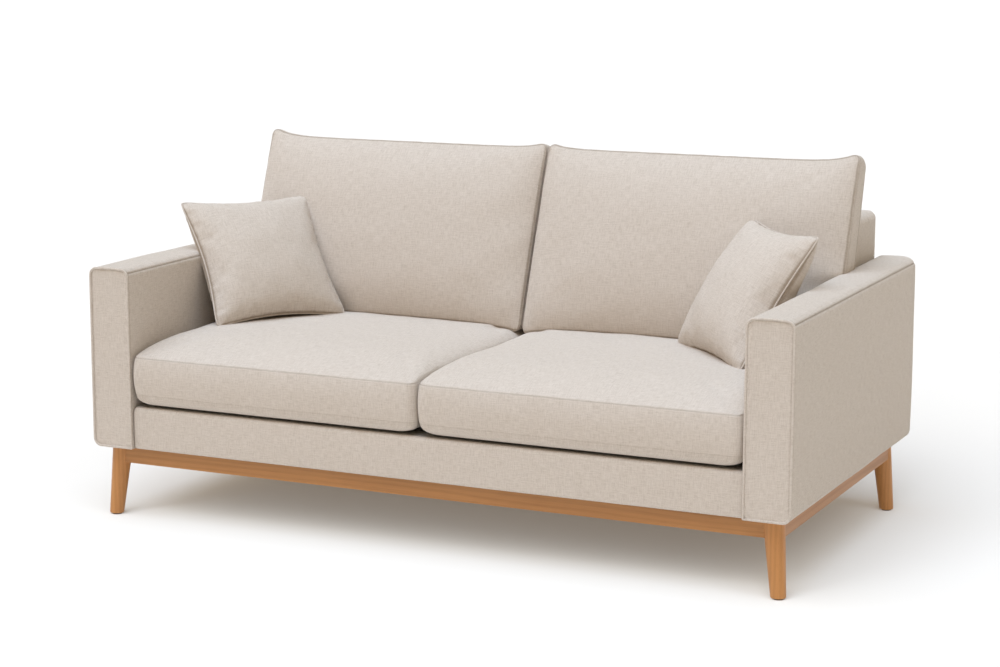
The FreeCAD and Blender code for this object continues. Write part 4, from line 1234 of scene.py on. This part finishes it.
class SOFA_OT_stage(bpy.types.Operator):
    """Pale floor, soft light and camera"""

    bl_idname = "sofa.stage"
    bl_label = "Stage"

    def execute(self, context):
        scene = context.scene
        stage = scene.sofa_stage
        mesh = bpy.data.meshes.new("studio_floor")
        reach = 90.0
        corners = [(-reach, -reach, 0), (reach, -reach, 0), (reach, reach, 0), (-reach, reach, 0)]
        mesh.from_pydata(corners, [], [(0, 1, 2, 3)])
        material = bpy.data.materials.new("pale floor")
        material.use_nodes = True
        shader = material.node_tree.nodes["Principled BSDF"]
        shader.inputs["Base Color"].default_value = rgba(stage.floor)
        shader.inputs["Roughness"].default_value = 0.9
        shader.inputs["Specular IOR Level"].default_value = 0.0
        shader.inputs["Emission Color"].default_value = rgba(stage.glow_colour)
        shader.inputs["Emission Strength"].default_value = stage.glow
        mesh.materials.append(material)
        floor = bpy.data.objects.new("studio_floor", mesh)
        scene.collection.objects.link(floor)
        world = bpy.data.worlds.new("studio")
        world.use_nodes = True
        sky = world.node_tree.nodes["Background"]
        sky.inputs[0].default_value = rgba(stage.sky_colour)
        sky.inputs[1].default_value = stage.sky
        # seen past the floor's edge the studio is white, as the floor is
        nodes = Nodes(world.node_tree)
        backdrop = nodes.add("ShaderNodeBackground", {"Color": (1.0, 1.0, 1.0, 1.0), "Strength": 0.97})
        seen = nodes.add("ShaderNodeLightPath", output="Is Camera Ray")
        either = nodes.add("ShaderNodeMixShader", enumerate((seen, sky.outputs[0], backdrop)))
        nodes.give(nodes.tree.nodes["World Output"].inputs[0], either)
        scene.world = world
        self.lamp("key", stage.key, stage.key_colour, 58, (0.10, 0.20, -1.0))
        self.lamp("fill", stage.fill, stage.fill_colour, 58, (0.25, 0.75, -1.0))
        lit = bpy.data.collections.new("lit_floor")
        lit.objects.link(floor)
        floor_lamps = {
            "floor_front": (stage.floor_key, stage.floor_colour, (0.0, 1.8, -1.0)),
            "floor_left": (stage.floor_left, (1.0, 0.846, 0.55), (0.9, 0.8, -1.0)),
            "floor_right": (stage.floor_right, stage.floor_colour, (-0.9, 0.8, -1.0)),
        }
        for name, (energy, tint, way) in floor_lamps.items():
            self.lamp(name, energy, tint, 60, way).light_linking.receiver_collection = lit
        view = bpy.data.cameras.new("view")
        view.sensor_width = 36.0
        view.lens = stage.lens
        view.clip_end = 300.0
        camera = bpy.data.objects.new("view", view)
        turned = Matrix.Rotation(stage.yaw, 4, "Z") @ Matrix.Rotation(math.pi / 2 - stage.pitch, 4, "X")
        turned = turned @ Matrix.Rotation(-stage.roll, 4, "Z")
        camera.matrix_world = Matrix.Translation(Vector(stage.camera)) @ turned
        scene.collection.objects.link(camera)
        scene.camera = camera
        scene.view_settings.view_transform = "Standard"
        scene.view_settings.look = "None"
        return {"FINISHED"}

    @staticmethod
    def lamp(name, energy, tint, spread, way):
        """A soft light from far away: its strength, colour, spread in degrees and the way it shines."""
        light = bpy.data.lights.new(name, "SUN")
        light.energy = energy
        light.color = tint
        light.angle = math.radians(spread)
        lamp = bpy.data.objects.new(name, light)
        lamp.rotation_euler = Vector(way).to_track_quat("-Z", "Y").to_euler()
        bpy.context.scene.collection.objects.link(lamp)
        return lamp


class SOFA_PT_panel(bpy.types.Panel):
    """Sofa pieces in the sidebar"""

    bl_idname = "SOFA_PT_panel"
    bl_label = "Sofa"
    bl_space_type = "VIEW_3D"
    bl_region_type = "UI"
    bl_category = "Sofa"

    def draw(self, context):
        for name, group in GROUPS.items():
            box_ = self.layout.box()
            box_.label(text=group.__doc__.rstrip("."))
            for key in group.__annotations__:
                box_.prop(getattr(context.scene, name), key)
        for operator in OPERATORS:
            self.layout.operator(operator.bl_idname)


OPERATORS = (
    SOFA_OT_finishes, SOFA_OT_stage, SOFA_OT_arms, SOFA_OT_border, SOFA_OT_back_frame, SOFA_OT_seat_cushions,
    SOFA_OT_back_cushions, SOFA_OT_throw_pillows,
)


def register():
    """Registers the property groups, operators and panel."""
    for cls in (*GROUPS.values(), *OPERATORS, SOFA_PT_panel):
        bpy.utils.register_class(cls)
    for name, group in GROUPS.items():
        setattr(bpy.types.Scene, name, bpy.props.PointerProperty(type=group))


def unregister():
    """Takes them all away again."""
    for name in GROUPS:
        delattr(bpy.types.Scene, name)
    for cls in reversed((*GROUPS.values(), *OPERATORS, SOFA_PT_panel)):
        bpy.utils.unregister_class(cls)


def main():
    """Makes every piece and the stage."""
    register()
    for operator in OPERATORS:
        group, name = operator.bl_idname.split(".")
        getattr(getattr(bpy.ops, group), name)()


if __name__ == "__main__":
    main()
